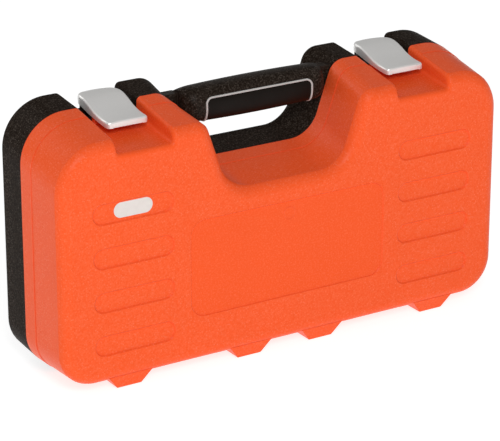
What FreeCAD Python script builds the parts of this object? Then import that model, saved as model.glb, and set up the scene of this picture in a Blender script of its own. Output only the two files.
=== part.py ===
import FreeCAD, Part
import math
import os

# Socket wrench set in a two-shell carry case, standing on its feet.
# Millimetres, +X to the right, +Y to the back, +Z up.
# Origin on the floor under the middle of the case.

os.makedirs("parts", exist_ok=True)
V = FreeCAD.Vector

# Case shells
case_width = 390.0
lid_depth = 56.0
base_depth = 36.0
shoulder_height = 204.0
notch_depth = 57.0
notch_half = 36.0
foot_height = 7.0
wall = 2.6
rim_gap = 0.3
top_radius = 36.0
bottom_radius = 29.0
notch_radius = 26.0
shoulder_radius = 14.0
cheek_lean = 19.0
lid_edge_radius = 10.0
base_edge_radius = 6.0
lid_band = 15.0
band_step = 0.35
lid_fall = 10.0
lid_notch_close = 6.0
base_rise = 3.5
base_notch_rise = 4.0
base_notch_close = 5.0
side_draft = 1.5
bottom_draft = 1.0

# Recesses moulded into the broad faces
pill_length = 68.0
pill_height = 16.6
pill_pitch = 34.1
pill_from_end = 62.0
pill_top_z = 140.9
pill_count = 4
pill_depth = 1.1
panel_width = 172.0
panel_bottom = 44.0
panel_top = 121.0
panel_radius = 12.5
panel_depth = 0.6
rib_height = 6.0
rib_thickness = 1.6
rib_from_panel = 4.0
rib_run_down = 20.0

# Feet and hinge
inner_foot_ratio = 0.0826
outer_foot_ratio = 0.35
foot_sole = 19.5
foot_flare = 5.5
foot_length = 21.0
foot_from_lid_front = 5.5
base_foot_start = 7.0
foot_root = 4.0
foot_edge_radius = 1.5
foot_end_flare = 0.35
hinge_length = 41.0
hinge_recess_length = 49.0
hinge_recess = 2.6
hinge_height = 4.8
knuckle_radius = 4.3
hinge_web = 9.0
hinge_pin_radius = 1.5
pin_clearance = 0.05
press_clearance = 0.02

# Latches
channel_ratio = 0.3128
channel_width = 48.8
channel_depth = 12.7
channel_floor_fall = 7.7
channel_side_draft = 1.2
channel_root_radius = 3.0
channel_edge_radius = 3.5
latch_width = 34.0
latch_thickness = 4.8
latch_profile = ((26.0, 16.4), (15.0, 17.0), (2.0, 14.8), (-10.0, 11.7), (-20.0, 9.7), (-30.0, 8.1))
latch_nose_radius = 3.0
latch_tail_radius = 14.3
latch_rim_radius = 2.2
latch_pivot_back = 20.0
latch_pivot_rise = 6.6
latch_knuckle_radius = 3.6
latch_knuckle_width = 14.0
latch_pin_radius = 1.6
latch_ear_width = 4.0
side_clearance = 0.3
catch_front = 2.4
catch_thickness = 2.6
catch_height = 4.6
catch_width = 30.0
hook_thickness = 2.6
hook_width = 26.0
hook_nose = 1.4
hook_clearance = 0.3

# Handle
handle_above_shoulder = 2.0
handle_height = 28.0
handle_front = 15.0
handle_back = 13.0
handle_round = 6.5
handle_front_lean = 3.0
handle_front_slope = 11.0
handle_back_slope = 9.0
handle_foot_slope = 6.0
handle_top_front = 6.0
handle_top_back = 5.0
handle_end_radius = 2.5
inlay_half = 48.0
inlay_below_top = 7.0
inlay_depth = 1.5
inlay_corner = 6.0
piping_width = 2.2
inlay_sink = 0.35
bond_line = 0.05
tenon_length = 22.0
tenon_height = 18.0
tenon_rise = 4.0
tenon_front = 2.0
tenon_back = 12.0
tenon_screw_from_end = 5.0
fit_clearance = 0.2
handle_screw_length = 18.0

# Tray
tray_level = 3.6
tray_plate = 1.8
tray_wall = 1.6
tray_margin = 0.6
pocket_clearance = 0.4
well_from_back = 4.4
lip_height = 3.0
lip_thickness = 1.4
lip_clearance = 0.35
ledge_bite = 0.6
tray_boss_radius = 4.2
screw_radius = 1.5
screw_head_radius = 3.0
screw_head_height = 1.8
screw_bite = 12.0
tray_screw_length = 10.0
tray_screw_places = ((-100.0, 20.0), (172.0, 24.0), (172.0, 124.0), (-178.0, 126.0))

# Sockets: nominal size, place across the case, place above the floor
drive_square = 12.7
drive_clearance = 0.15
socket_row_z = 98.0
socket_row_start = -176.0
socket_row_gap = 4.2
row_sizes = (10, 11, 12, 13, 14, 15, 16, 17, 18, 19, 21, 22)
big_sockets = ((24, -121.0), (27, -164.0), (30, 116.0), (32, 164.0))
big_socket_below_channel = 33.8
plug_sockets = ((21, 118.0, 52.0), (16, 158.0, 52.0))
socket_least_od = 22.0
socket_od_ratio = 1.34
socket_wall = 1.5
socket_drive_ratio = 0.72
socket_chamfer = 0.8
socket_square_depth = 15.0
socket_step_start = 14.0
socket_step_end = 18.0
socket_bore_radius = 5.5
socket_bore_ratio = 0.42
socket_lead = 1.0
socket_length = 38.0
socket_growth = 0.6
plug_length = 64.0
hex_clearance = 0.2
insert_clearance = 0.1
insert_length = 12.0
insert_bore = 4.0

# Extension bars
bar_radius = 6.8
bar_square_length = 15.0
bar_collar_radius = 9.0
bar_collar_end = 28.0
bar_taper = 6.0
bar_cup_radius = 12.0
bar_cup_length = 32.0
bar_detent_from_end = 7.0
long_bar = 250.0
short_bar = 125.0
long_bar_start = -184.0
long_bar_z = 70.0
bar_above_plate = 1.0
short_bar_start = -62.0
short_bar_z = 125.0

# Ratchet
ratchet_x = -163.0
ratchet_z = 37.0
head_radius = 19.0
head_thickness = 26.0
head_tail_radius = 11.0
head_tail_reach = 20.0
head_edge_radius = 2.0
shank_root = 10.0
shank_waist = 24.0
shank_waist_radius = 10.6
shank_straight = 48.0
ratchet_length = 242.0
shank_radius = 7.5
tang_radius = 5.5
tang_from_end = 4.0
grip_length = 118.0
grip_clearance = 0.1
grip_profile = ((0.3, 9.6), (3.0, 11.0), (16.0, 12.2), (34.0, 14.0), (62.0, 13.0),
                (84.0, 12.6), (104.0, 13.4), (115.0, 12.4), (118.0, 9.0))
gear_wall = 7.4
gear_teeth = 36
tooth_depth = 1.0
gear_thickness = 14.0
gear_clearance = 0.4
cover_margin = 2.5
cover_thickness = 2.2
cover_tail_radius = 7.0
cover_clearance = 0.15
cover_screw_turns = (105, 180, 255)
cover_screw_inset = 2.4
cover_screw_radius = 1.1
cover_screw_head = 1.9
cover_screw_sink = 1.2
cover_screw_length = 6.5
drive_length = 14.5
neck_radius = 9.0
neck_hole_gap = 0.06
hub_radius = 6.4
hub_gap = 0.3
pawl_radius = 4.1
pawl_gap = 0.5
pawl_notch = 0.5
pawl_notch_half = 1.2
plunger_radius = 1.6
plunger_length = 13.5
selector_radius = 2.5
drive_above_well = 0.5
button_radius = 3.6
button_proud = 2.4
button_travel = 2.0
button_sunk = 4.0
button_clearance = 0.12
button_edge_radius = 0.8
detent_radius = 2.2
detent_proud = 0.8
lever_length = 15.0
lever_height = 3.2
lever_hub_radius = 5.0
lever_tip_radius = 3.0
lever_edge_radius = 1.0
drive_chamfer = 1.0
drive_step = 0.4
drive_well_radius = 11.5

# Values that follow from the driving dimensions
half_width = case_width / 2
parting_y = (lid_depth - base_depth) / 2
lid_front_y = parting_y - lid_depth
base_back_y = parting_y + base_depth
notch_height = shoulder_height - notch_depth
pill_offset = half_width - pill_from_end
foot_centres = (inner_foot_ratio * case_width, outer_foot_ratio * case_width)
lid_feet_y = lid_front_y + foot_from_lid_front
base_feet_y = parting_y + base_foot_start
hinge_offset = sum(foot_centres) / 2
hinge_floor = foot_height + hinge_recess
knuckle_length = (hinge_length - 2 * side_clearance) / 3
lid_spans = [(knuckle_length + side_clearance, 2 * knuckle_length + side_clearance)]
base_spans = [(0.0, knuckle_length), (2 * (knuckle_length + side_clearance), hinge_length)]
channel_offset = channel_ratio * case_width
channel_floor = shoulder_height - channel_depth
catch_top = channel_floor + catch_height
catch_y = parting_y - catch_front - catch_thickness
latch_y = parting_y + latch_pivot_back
latch_pivot_z = channel_floor + latch_pivot_rise
ear_inner = latch_knuckle_width / 2 + side_clearance
handle_top = shoulder_height + handle_above_shoulder
handle_bottom = handle_top - handle_height
handle_half = notch_half + notch_radius
inlay_top = handle_top - inlay_below_top
tenon_low = handle_bottom + tenon_rise
tenon_high = tenon_low + tenon_height
tenon_mid = (tenon_low + tenon_high) / 2
tenon_reach = handle_half + tenon_length
tenon_screw_x = tenon_reach - tenon_screw_from_end
well_level = base_depth - wall - well_from_back
big_socket_z = channel_floor - big_socket_below_channel
gear_radius = head_radius - gear_wall
cover_radius = head_radius - cover_margin
pawl_offset = gear_radius + pawl_radius + pawl_gap
ratchet_level = well_level - drive_above_well - drive_length - head_thickness / 2
grip_radius = max(radius for along, radius in grip_profile)
grip_start = ratchet_length - grip_length


def arc(a, b, centre, outward):
    """Circular edge from a to b about centre, bulging toward outward."""
    radius = (a - centre).Length
    middle = centre + outward * (radius / outward.Length)
    return Part.Arc(a, middle, b).toShape()


def closed_wire(arcs):
    """Closed wire of arcs joined by straight lines."""
    edges = []
    for number, (a, b, centre, way) in enumerate(arcs):
        following = arcs[(number + 1) % len(arcs)][0]
        edges.append(arc(a, b, centre, way))
        edges.append(Part.makeLine(b, following))
    return Part.Wire(edges)


def outline(y, half, bottom, top, floor, floor_half, inset):
    """Closed outline of the case at y, with the hand notch, shrunk by inset."""
    lean = math.radians(cheek_lean)
    half = half - inset
    bottom = bottom + inset
    top = top - inset
    floor = floor - inset
    r_top = top_radius - inset
    r_bottom = bottom_radius - inset
    r_notch = notch_radius + inset
    r_shoulder = shoulder_radius - inset
    c_notch = V(floor_half, y, floor + r_notch)
    foot = V(floor_half + r_notch * math.cos(lean), y, floor + r_notch - r_notch * math.sin(lean))
    rise = (top - r_shoulder + r_shoulder * math.sin(lean) - foot.z) / math.cos(lean)
    crest = V(foot.x + rise * math.sin(lean), y, foot.z + rise * math.cos(lean))
    c_shoulder = V(crest.x + r_shoulder * math.cos(lean), y, top - r_shoulder)
    right = [
        (V(half - r_bottom, y, bottom), V(half, y, bottom + r_bottom),
         V(half - r_bottom, y, bottom + r_bottom), V(1, 0, -1)),
        (V(half, y, top - r_top), V(half - r_top, y, top),
         V(half - r_top, y, top - r_top), V(1, 0, 1)),
        (V(c_shoulder.x, y, top), crest,
         c_shoulder, V(-math.cos(lean) * 0.5 - 0.01, 0, 0.5 + math.sin(lean) * 0.5)),
        (foot, V(floor_half, y, floor),
         c_notch, V(math.cos(lean) * 0.5, 0, -0.5 - math.sin(lean) * 0.5)),
    ]
    left = []
    for a, b, centre, way in reversed(right):
        flip = [V(-p.x, p.y, p.z) for p in (b, a, centre, way)]
        left.append(flip)
    return closed_wire(right + left)


def lid_outline(depth, inset=0.0):
    """Lid outline at a depth in front of the parting plane."""
    t = depth / lid_depth
    return outline(parting_y - depth, half_width - side_draft * t, foot_height + bottom_draft * t,
                   shoulder_height - lid_fall * t, notch_height - lid_fall * t,
                   notch_half - lid_notch_close * t, inset)


def base_outline(depth, inset=0.0):
    """Base outline at a depth behind the parting plane."""
    t = depth / base_depth
    return outline(parting_y + depth, half_width - side_draft * t, foot_height + bottom_draft * t,
                   shoulder_height + base_rise * t, notch_height + base_notch_rise * t,
                   notch_half - base_notch_close * t, inset)


def loft(first, second):
    """Straight-sided solid between two outlines."""
    return Part.makeLoft([first, second], True, True)


def edges_at_y(shape, y):
    """Edges of shape lying wholly in the plane at y."""
    found = []
    for edge in shape.Edges:
        if all(abs(vertex.Point.y - y) < 1e-4 for vertex in edge.Vertexes):
            found.append(edge)
    return found


def edges_along(shape, axis, spread=0.5):
    """Edges of shape that run along an axis, within a spread in degrees."""
    found = []
    for edge in shape.Edges:
        if len(edge.Vertexes) == 2:
            run = edge.Vertexes[1].Point - edge.Vertexes[0].Point
            if run.Length > 1e-6 and abs(run.dot(axis)) / run.Length > math.cos(math.radians(spread)):
                found.append(edge)
    return found


def box(x0, x1, y0, y1, z0, z1):
    """Box between two corners."""
    return Part.makeBox(x1 - x0, y1 - y0, z1 - z0, V(x0, y0, z0))


def cyl_x(radius, x0, x1, y, z):
    """Cylinder along X."""
    return Part.makeCylinder(radius, x1 - x0, V(x0, y, z), V(1, 0, 0))


def cyl_y(radius, y0, y1, x, z):
    """Cylinder along Y."""
    return Part.makeCylinder(radius, y1 - y0, V(x, y0, z), V(0, 1, 0))


def fuse(shapes):
    """One shape from several."""
    return shapes[0].multiFuse(shapes[1:]).removeSplitter()


def polygon_prism(points, push):
    """Prism of a closed polygon pushed along a vector."""
    return Part.Face(Part.makePolygon(list(points) + [points[0]])).extrude(push)


def rounded_rect(cx, cz, width, height, radius, y):
    """Rounded rectangle outline in the plane at y."""
    x0, x1 = cx - width / 2, cx + width / 2
    z0, z1 = cz - height / 2, cz + height / 2
    r = min(radius, height / 2 - 1e-3, width / 2 - 1e-3)
    corners = [
        (V(x1 - r, y, z0), V(x1, y, z0 + r), V(x1 - r, y, z0 + r), V(1, 0, -1)),
        (V(x1, y, z1 - r), V(x1 - r, y, z1), V(x1 - r, y, z1 - r), V(1, 0, 1)),
        (V(x0 + r, y, z1), V(x0, y, z1 - r), V(x0 + r, y, z1 - r), V(-1, 0, 1)),
        (V(x0, y, z0 + r), V(x0 + r, y, z0), V(x0 + r, y, z0 + r), V(-1, 0, -1)),
    ]
    return closed_wire(corners)


def sunk_panel(cx, cz, width, height, radius, face_y, depth, inward):
    """Cutter for a shallow recess with sloping sides in a face at face_y."""
    over = 1.0
    mouth = rounded_rect(cx, cz, width + 2 * over, height + 2 * over, radius + over, face_y - over * inward)
    sole = rounded_rect(cx, cz, width - 2 * depth, height - 2 * depth, radius - depth,
                        face_y + depth * inward)
    return loft(mouth, sole)


def pill_cutters(face_y, inward):
    """Cutters for the rows of finger recesses at both ends of a broad face."""
    cutters = []
    for side in (-1, 1):
        for number in range(pill_count):
            cz = pill_top_z - number * pill_pitch
            cutters.append(sunk_panel(side * pill_offset, cz, pill_length, pill_height, pill_height / 2,
                                      face_y, pill_depth, inward))
    return cutters


def channel_cutter(side, grow):
    """Latch channel through both shells, grown all round for the wall under it."""
    def section(y, floor):
        half_floor = channel_width / 2 - channel_side_draft + grow
        half_top = channel_width / 2 + grow
        cx = side * channel_offset
        high = shoulder_height + 20
        points = [V(cx - half_floor, y, floor - grow), V(cx + half_floor, y, floor - grow),
                  V(cx + half_top, y, high), V(cx - half_top, y, high)]
        return Part.makePolygon(points + [points[0]])
    low_floor = channel_floor - 2 * channel_floor_fall
    front = loft(section(lid_front_y - lid_depth, low_floor), section(parting_y, channel_floor))
    back = loft(section(parting_y, channel_floor), section(base_back_y + 10, channel_floor))
    return front, back


def foot(cx, y0):
    """One moulded foot, wider where it joins the shell."""
    y1 = y0 + foot_length

    def sole(z, half, grow):
        points = [V(cx - half, y0 - grow, z), V(cx + half, y0 - grow, z),
                  V(cx + half, y1 + grow, z), V(cx - half, y1 + grow, z)]
        return Part.makePolygon(points + [points[0]])
    half = foot_sole / 2
    root = foot_height + foot_root
    spread = foot_flare * root / foot_height
    body = loft(sole(0, half, 0), sole(root, half + spread, spread * foot_end_flare))
    return body.makeFillet(foot_edge_radius, edges_at_z(body, 0))


def edges_at_z(shape, z):
    """Edges of shape lying wholly in the plane at z."""
    found = []
    for edge in shape.Edges:
        if all(abs(vertex.Point.z - z) < 1e-4 for vertex in edge.Vertexes):
            found.append(edge)
    return found


def hinge_recess_block(side, grow):
    """Block that lifts the shell floor over one hinge."""
    cx = side * hinge_offset
    low = hinge_recess_length / 2 + grow
    high = low - hinge_recess
    top = hinge_floor + grow
    points = [V(cx - low - foot_height, -100, 0), V(cx + low + foot_height, -100, 0),
              V(cx + high, -100, top), V(cx - high, -100, top)]
    return polygon_prism(points, V(0, 200, 0))


def knuckles(spans, toward):
    """Hinge knuckles on both hinges with a web into the shell floor."""
    pieces = []
    for side in (-1, 1):
        start = side * hinge_offset - hinge_length / 2
        for a, b in spans:
            pieces.append(cyl_x(knuckle_radius, start + a, start + b, parting_y, hinge_height))
            y0, y1 = sorted((parting_y, parting_y + toward * hinge_web))
            pieces.append(box(start + a, start + b, y0, y1, hinge_height, hinge_floor + 1.0))
    return pieces


def hinge_bores(radius):
    """Bore for the hinge pins through both hinges."""
    bores = []
    for side in (-1, 1):
        start = side * hinge_offset - hinge_length / 2
        bores.append(cyl_x(radius, start - 1, start + hinge_length + 1, parting_y, hinge_height))
    return bores


def teardrop(r1, r2, reach, y0, y1, x, z):
    """Plate of two discs joined by their tangents, the second disc toward +X."""
    swing = math.asin((r1 - r2) / reach)
    up = V(math.sin(swing), 0, math.cos(swing))
    down = V(math.sin(swing), 0, -math.cos(swing))
    big = V(x, y0, z)
    small = V(x + reach, y0, z)
    edges = [
        arc(big + up * r1, big + down * r1, big, V(-1, 0, 0)),
        Part.makeLine(big + down * r1, small + down * r2),
        arc(small + down * r2, small + up * r2, small, V(1, 0, 0)),
        Part.makeLine(small + up * r2, big + up * r1),
    ]
    return Part.Face(Part.Wire(edges)).extrude(V(0, y1 - y0, 0))


def revolve_x(points, x, y, z):
    """Solid of revolution about a line along X; points are distance along and radius."""
    loop = [V(x + along, y, z + radius) for along, radius in points]
    return Part.Face(Part.makePolygon(loop + [loop[0]])).revolve(V(x, y, z), V(1, 0, 0), 360)


def revolve_y(points, x, y, z):
    """Solid of revolution about a line along Y; points are distance along and radius."""
    loop = [V(x + radius, y + along, z) for along, radius in points]
    return Part.Face(Part.makePolygon(loop + [loop[0]])).revolve(V(x, y, z), V(0, 1, 0), 360)


def hex_prism(flats, y0, y1, x, z):
    """Six-sided prism along Y with its flats at both sides."""
    corner = flats / math.sqrt(3)
    points = []
    for number in range(6):
        turn = math.radians(30 + 60 * number)
        points.append(V(x + corner * math.cos(turn), y0, z + corner * math.sin(turn)))
    return polygon_prism(points, V(0, y1 - y0, 0))


def round_channel_edges(shape):
    """Round the upper edges of the latch channels where they run along the shell."""
    chosen = []
    for edge in edges_along(shape, V(0, 1, 0), 15.0):
        middle = edge.BoundBox.Center
        for side in (-1, 1):
            beside = abs(abs(middle.x - side * channel_offset) - channel_width / 2)
            if beside < 1.0 and middle.z > channel_floor + 6:
                chosen.append(edge)
    return shape.makeFillet(channel_edge_radius, chosen)


def cut_channels(shape, part):
    """Cut the rounded-root latch channels out of one shell."""
    for pair in channels_cut:
        cutter = pair[part]
        roots = [e for e in edges_along(cutter, V(0, 1, 0), 15.0) if e.BoundBox.ZMax < channel_floor + 1]
        shape = shape.cut(cutter.makeFillet(channel_root_radius, roots))
    return round_channel_edges(shape)


channels_cut = [channel_cutter(side, 0.0) for side in (-1, 1)]
channels_wall = [channel_cutter(side, wall) for side in (-1, 1)]

# Lid shell: outer form, then the hollow, then the details inside
lid_outer = loft(lid_outline(rim_gap / 2), lid_outline(lid_depth))
lid_outer = lid_outer.makeFillet(lid_edge_radius, edges_at_y(lid_outer, lid_front_y))
lid_outer = cut_channels(lid_outer, 0)
front_zone = box(-case_width, case_width, lid_front_y - lid_depth, parting_y - lid_band,
                 0, 2 * shoulder_height)
front_core = loft(lid_outline(lid_band - 1, band_step), lid_outline(lid_depth + 1, band_step))
lid_outer = lid_outer.cut(front_zone.cut(front_core))
for side in (-1, 1):
    for cx in foot_centres:
        lid_outer = lid_outer.fuse(foot(side * cx, lid_feet_y))
    lid_outer = lid_outer.cut(hinge_recess_block(side, 0.0))
for cutter in pill_cutters(lid_front_y, 1):
    lid_outer = lid_outer.cut(cutter)
lid_outer = lid_outer.cut(sunk_panel(0, (panel_bottom + panel_top) / 2, panel_width, panel_top - panel_bottom,
                                     panel_radius, lid_front_y, panel_depth, 1))

lid_inner = loft(lid_outline(-1.0, wall), lid_outline(lid_depth - wall, wall))
lid_inner = lid_inner.makeFillet(lid_edge_radius - wall, edges_at_y(lid_inner, lid_front_y + wall))
for front, back in channels_wall:
    lid_inner = lid_inner.cut(front.fuse(back))
for side in (-1, 1):
    lid_inner = lid_inner.cut(hinge_recess_block(side, wall))
rib_y = lid_front_y + wall
rib_end = rib_y + rib_height
rib_top = panel_top + rib_from_panel
rib_low = panel_bottom - rib_from_panel
rib_half = panel_width / 2 + rib_from_panel
thin = rib_thickness / 2
for z in (rib_low, rib_top):
    lid_inner = lid_inner.cut(box(-rib_half, rib_half, rib_y - 1, rib_end, z - thin, z + thin))
for x in (-rib_half, rib_half):
    lid_inner = lid_inner.cut(box(x - thin, x + thin, rib_y - 1, rib_end,
                                  rib_low - rib_run_down, rib_top + rib_from_panel))
lid_shell = lid_outer.cut(lid_inner)
lid_extra = knuckles(lid_spans, -1)
for side in (-1, 1):
    cx = side * channel_offset
    lid_extra.append(box(cx - catch_width / 2, cx + catch_width / 2, catch_y, catch_y + catch_thickness,
                         channel_floor - wall, catch_top))
lid_shell = fuse([lid_shell] + lid_extra)
for bore in hinge_bores(hinge_pin_radius + pin_clearance):
    lid_shell = lid_shell.cut(bore)
lid_shell.exportStep("parts/lid_shell.step")

# Base shell: outer form, hollow, rim lip, hinge, latch ears, bosses
base_outer = loft(base_outline(rim_gap / 2), base_outline(base_depth))
base_outer = base_outer.makeFillet(base_edge_radius, edges_at_y(base_outer, base_back_y))
base_outer = cut_channels(base_outer, 1)
for side in (-1, 1):
    for cx in foot_centres:
        base_outer = base_outer.fuse(foot(side * cx, base_feet_y))
    base_outer = base_outer.cut(hinge_recess_block(side, 0.0))
base_inner = loft(base_outline(-1.0, wall), base_outline(base_depth - wall, wall))
base_inner = base_inner.makeFillet(base_edge_radius - wall, edges_at_y(base_inner, base_back_y - wall))
for front, back in channels_wall:
    base_inner = base_inner.cut(front.fuse(back))
for side in (-1, 1):
    base_inner = base_inner.cut(hinge_recess_block(side, wall))
base_shell = base_outer.cut(base_inner)

lip_inset = wall + lip_clearance
core_inset = lip_inset + lip_thickness
lip_core = loft(lid_outline(lip_height + 1, core_inset), lid_outline(-lip_height - 1, core_inset))
lip = loft(lid_outline(lip_height, lip_inset), lid_outline(-lip_height, lip_inset))
ledge = loft(base_outline(rim_gap / 2, wall - ledge_bite), base_outline(lip_height, wall - ledge_bite))
lip = lip.fuse(ledge).cut(lip_core)
for side in (-1, 1):
    front, back = channel_cutter(side, wall + 2 * lip_clearance)
    lip = lip.cut(front.fuse(back))
    lip = lip.cut(hinge_recess_block(side, wall + 2 * lip_clearance))
lip = lip.cut(box(-channel_offset, channel_offset, lid_front_y, base_back_y,
                  notch_height + lip_height, 2 * shoulder_height))
base_extra = lip.Solids + knuckles(base_spans, 1)
for side in (-1, 1):
    for way in (-1, 1):
        cx = side * channel_offset + way * (ear_inner + latch_ear_width / 2)
        x0, x1 = cx - latch_ear_width / 2, cx + latch_ear_width / 2
        base_extra.append(cyl_x(latch_knuckle_radius, x0, x1, latch_y, latch_pivot_z))
        base_extra.append(box(x0, x1, latch_y - latch_knuckle_radius, latch_y + latch_knuckle_radius,
                              channel_floor - wall / 2, latch_pivot_z))
    base_extra.append(cyl_y(tray_boss_radius, parting_y + tenon_back, base_back_y - wall / 2,
                            side * tenon_screw_x, tenon_mid))
tray_top = parting_y + tray_level
for x, z in tray_screw_places:
    base_extra.append(cyl_y(tray_boss_radius, tray_top + tray_plate, base_back_y - wall / 2, x, z))
base_shell = fuse([base_shell] + base_extra)
for bore in hinge_bores(hinge_pin_radius + press_clearance):
    base_shell = base_shell.cut(bore)
for side in (-1, 1):
    cx = side * channel_offset
    base_shell = base_shell.cut(cyl_x(latch_pin_radius + press_clearance, cx - latch_width / 2,
                                      cx + latch_width / 2, latch_y, latch_pivot_z))
    x0, x1 = sorted((side * (handle_half - 10), side * (tenon_reach + fit_clearance)))
    slot = box(x0, x1, parting_y - 1, parting_y + tenon_back + fit_clearance,
               tenon_low - fit_clearance, tenon_high + fit_clearance)
    base_shell = base_shell.cut(slot)
    screw_y = parting_y + tenon_back
    hole = cyl_y(screw_radius, screw_y - 1, screw_y + screw_bite, side * tenon_screw_x, tenon_mid)
    base_shell = base_shell.cut(hole)
for x, z in tray_screw_places:
    base_shell = base_shell.cut(cyl_y(screw_radius, tray_top, tray_top + screw_bite, x, z))
base_shell.exportStep("parts/base_shell.step")

# Hinge pins
for side, name in ((-1, "left"), (1, "right")):
    start = side * hinge_offset - hinge_length / 2
    pin = cyl_x(hinge_pin_radius, start, start + hinge_length, parting_y, hinge_height)
    pin.exportStep("parts/%s_hinge_pin.step" % name)


def latch(side):
    """Latch lever: S-curved tongue with a rounded rim, pivot knuckle and hook."""
    cx = side * channel_offset
    half = latch_width / 2
    upper = [V(cx - half, parting_y + along, channel_floor + rise) for along, rise in latch_profile]
    lower = [point - V(0, 0, latch_thickness) for point in reversed(upper)]
    top_curve = Part.BSplineCurve()
    top_curve.interpolate(upper)
    low_curve = Part.BSplineCurve()
    low_curve.interpolate(lower)
    edges = [top_curve.toShape(), Part.makeLine(upper[-1], lower[0]),
             low_curve.toShape(), Part.makeLine(lower[-1], upper[0])]
    tongue = Part.Face(Part.Wire(edges)).extrude(V(latch_width, 0, 0))
    tail_y, nose_y = upper[0].y, upper[-1].y
    plan = box(cx - half, cx + half, nose_y, tail_y, 0, 2 * shoulder_height)
    tail = [e for e in edges_along(plan, V(0, 0, 1)) if e.BoundBox.YMin > parting_y]
    plan = plan.makeFillet(latch_tail_radius, tail)
    nose = [e for e in edges_along(plan, V(0, 0, 1)) if e.BoundBox.YMax < nose_y + 0.1]
    tongue = tongue.common(plan.makeFillet(latch_nose_radius, nose))
    crest = max(tongue.Faces, key=lambda face: face.CenterOfMass.z)
    tongue = tongue.makeFillet(latch_rim_radius, crest.OuterWire.Edges)
    reach = latch_knuckle_width / 2
    barrel = cyl_x(latch_knuckle_radius, cx - reach, cx + reach, latch_y, latch_pivot_z)
    web = box(cx - reach, cx + reach, latch_y - latch_knuckle_radius, latch_y + latch_knuckle_radius,
              latch_pivot_z, upper[0].z - latch_thickness / 2)
    low = catch_top + hook_clearance
    beak_y = catch_y - side_clearance
    leg_y = beak_y - hook_thickness
    x0, x1 = cx - hook_width / 2, cx + hook_width / 2
    leg = box(x0, x1, leg_y, beak_y, low, upper[3].z - latch_thickness / 2)
    beak = polygon_prism([V(x0, beak_y, low), V(x0, beak_y + hook_nose, low), V(x0, beak_y, low + hook_nose)],
                         V(hook_width, 0, 0))
    shape = fuse([tongue, barrel, web, leg, beak])
    return shape.cut(cyl_x(latch_pin_radius + pin_clearance, cx - half, cx + half, latch_y, latch_pivot_z))


for side, name in ((-1, "left"), (1, "right")):
    latch(side).exportStep("parts/%s_latch.step" % name)
    reach = ear_inner + latch_ear_width
    cx = side * channel_offset
    pin = cyl_x(latch_pin_radius, cx - reach, cx + reach, latch_y, latch_pivot_z)
    pin.exportStep("parts/%s_latch_pin.step" % name)


def handle_form(inset):
    """Handle bar between its ends, shrunk by inset."""
    front, back = parting_y - handle_front, parting_y + handle_back
    points = [
        V(0, front + handle_front_lean, handle_bottom),
        V(0, front, handle_top - handle_front_slope),
        V(0, parting_y - handle_top_front, handle_top),
        V(0, parting_y + handle_top_back, handle_top),
        V(0, back, handle_top - handle_back_slope),
        V(0, back, handle_bottom + handle_foot_slope),
        V(0, back - handle_foot_slope, handle_bottom),
    ]
    wire = Part.makePolygon(points + [points[0]])
    if inset > 0:
        wire = Part.Face(wire).makeOffset2D(-inset).OuterWire
    half = handle_half - inset
    bar = Part.Face(wire).extrude(V(2 * half, 0, 0))
    bar.translate(V(-half, 0, 0))
    return bar.makeFillet(handle_round - inset, edges_along(bar, V(1, 0, 0)))


def inlay_zone(inset):
    """Region of the handle's front and underside that holds the grip inlay."""
    half = inlay_half - inset
    zone = box(-half, half, parting_y - 2 * handle_front, parting_y - 2,
               handle_bottom - handle_height, inlay_top - inset)
    corners = [e for e in edges_along(zone, V(0, 1, 0)) if e.BoundBox.ZMin > handle_bottom]
    return zone.makeFillet(inlay_corner - inset, corners)


# Handle bar, grip inlay and piping
bar = handle_form(0.0)
ends = [e for e in bar.Edges if e.BoundBox.XLength < 0.01]
skin = bar.cut(handle_form(inlay_depth))
recess = skin.common(inlay_zone(0.0))
core = handle_form(inlay_depth - bond_line)
piping = bar.cut(core).common(inlay_zone(bond_line)).cut(inlay_zone(piping_width))
inlay = handle_form(inlay_sink).cut(core).common(inlay_zone(piping_width + bond_line))
bar = bar.makeFillet(handle_end_radius, ends).cut(recess)
pieces = [bar]
for side in (-1, 1):
    x0, x1 = sorted((side * (handle_half - 4), side * tenon_reach))
    pieces.append(box(x0, x1, parting_y + tenon_front, parting_y + tenon_back, tenon_low, tenon_high))
bar = fuse(pieces)
for side in (-1, 1):
    bar = bar.cut(cyl_y(screw_radius + fit_clearance, parting_y, parting_y + 2 * tenon_back,
                        side * tenon_screw_x, tenon_mid))
bar.exportStep("parts/handle_bar.step")
inlay.exportStep("parts/handle_inlay.step")
piping.exportStep("parts/handle_piping.step")


def screw(x, y, z, length):
    """Pan-head screw along Y with its head's underside at y."""
    shank = screw_radius - press_clearance
    return revolve_y([(-screw_head_height, 0), (-screw_head_height, screw_head_radius * 0.7),
                      (-screw_head_height * 0.5, screw_head_radius), (0, screw_head_radius),
                      (0, shank), (length, shank), (length, 0)], x, y, z)


screws = []
for side in (-1, 1):
    screws.append(screw(side * tenon_screw_x, parting_y + tenon_front, tenon_mid, handle_screw_length))
Part.makeCompound(screws).exportStep("parts/handle_screws.step")
screws = [screw(x, tray_top, z, tray_screw_length) for x, z in tray_screw_places]
Part.makeCompound(screws).exportStep("parts/tray_screws.step")


def hex_end_radius(size):
    """Outside radius of a socket at its six-sided end."""
    return size * socket_od_ratio / 2 + socket_wall


def drive_end_radius(size):
    """Outside radius of a socket at its square end."""
    return max(socket_least_od / 2, socket_drive_ratio * hex_end_radius(size))


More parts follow.
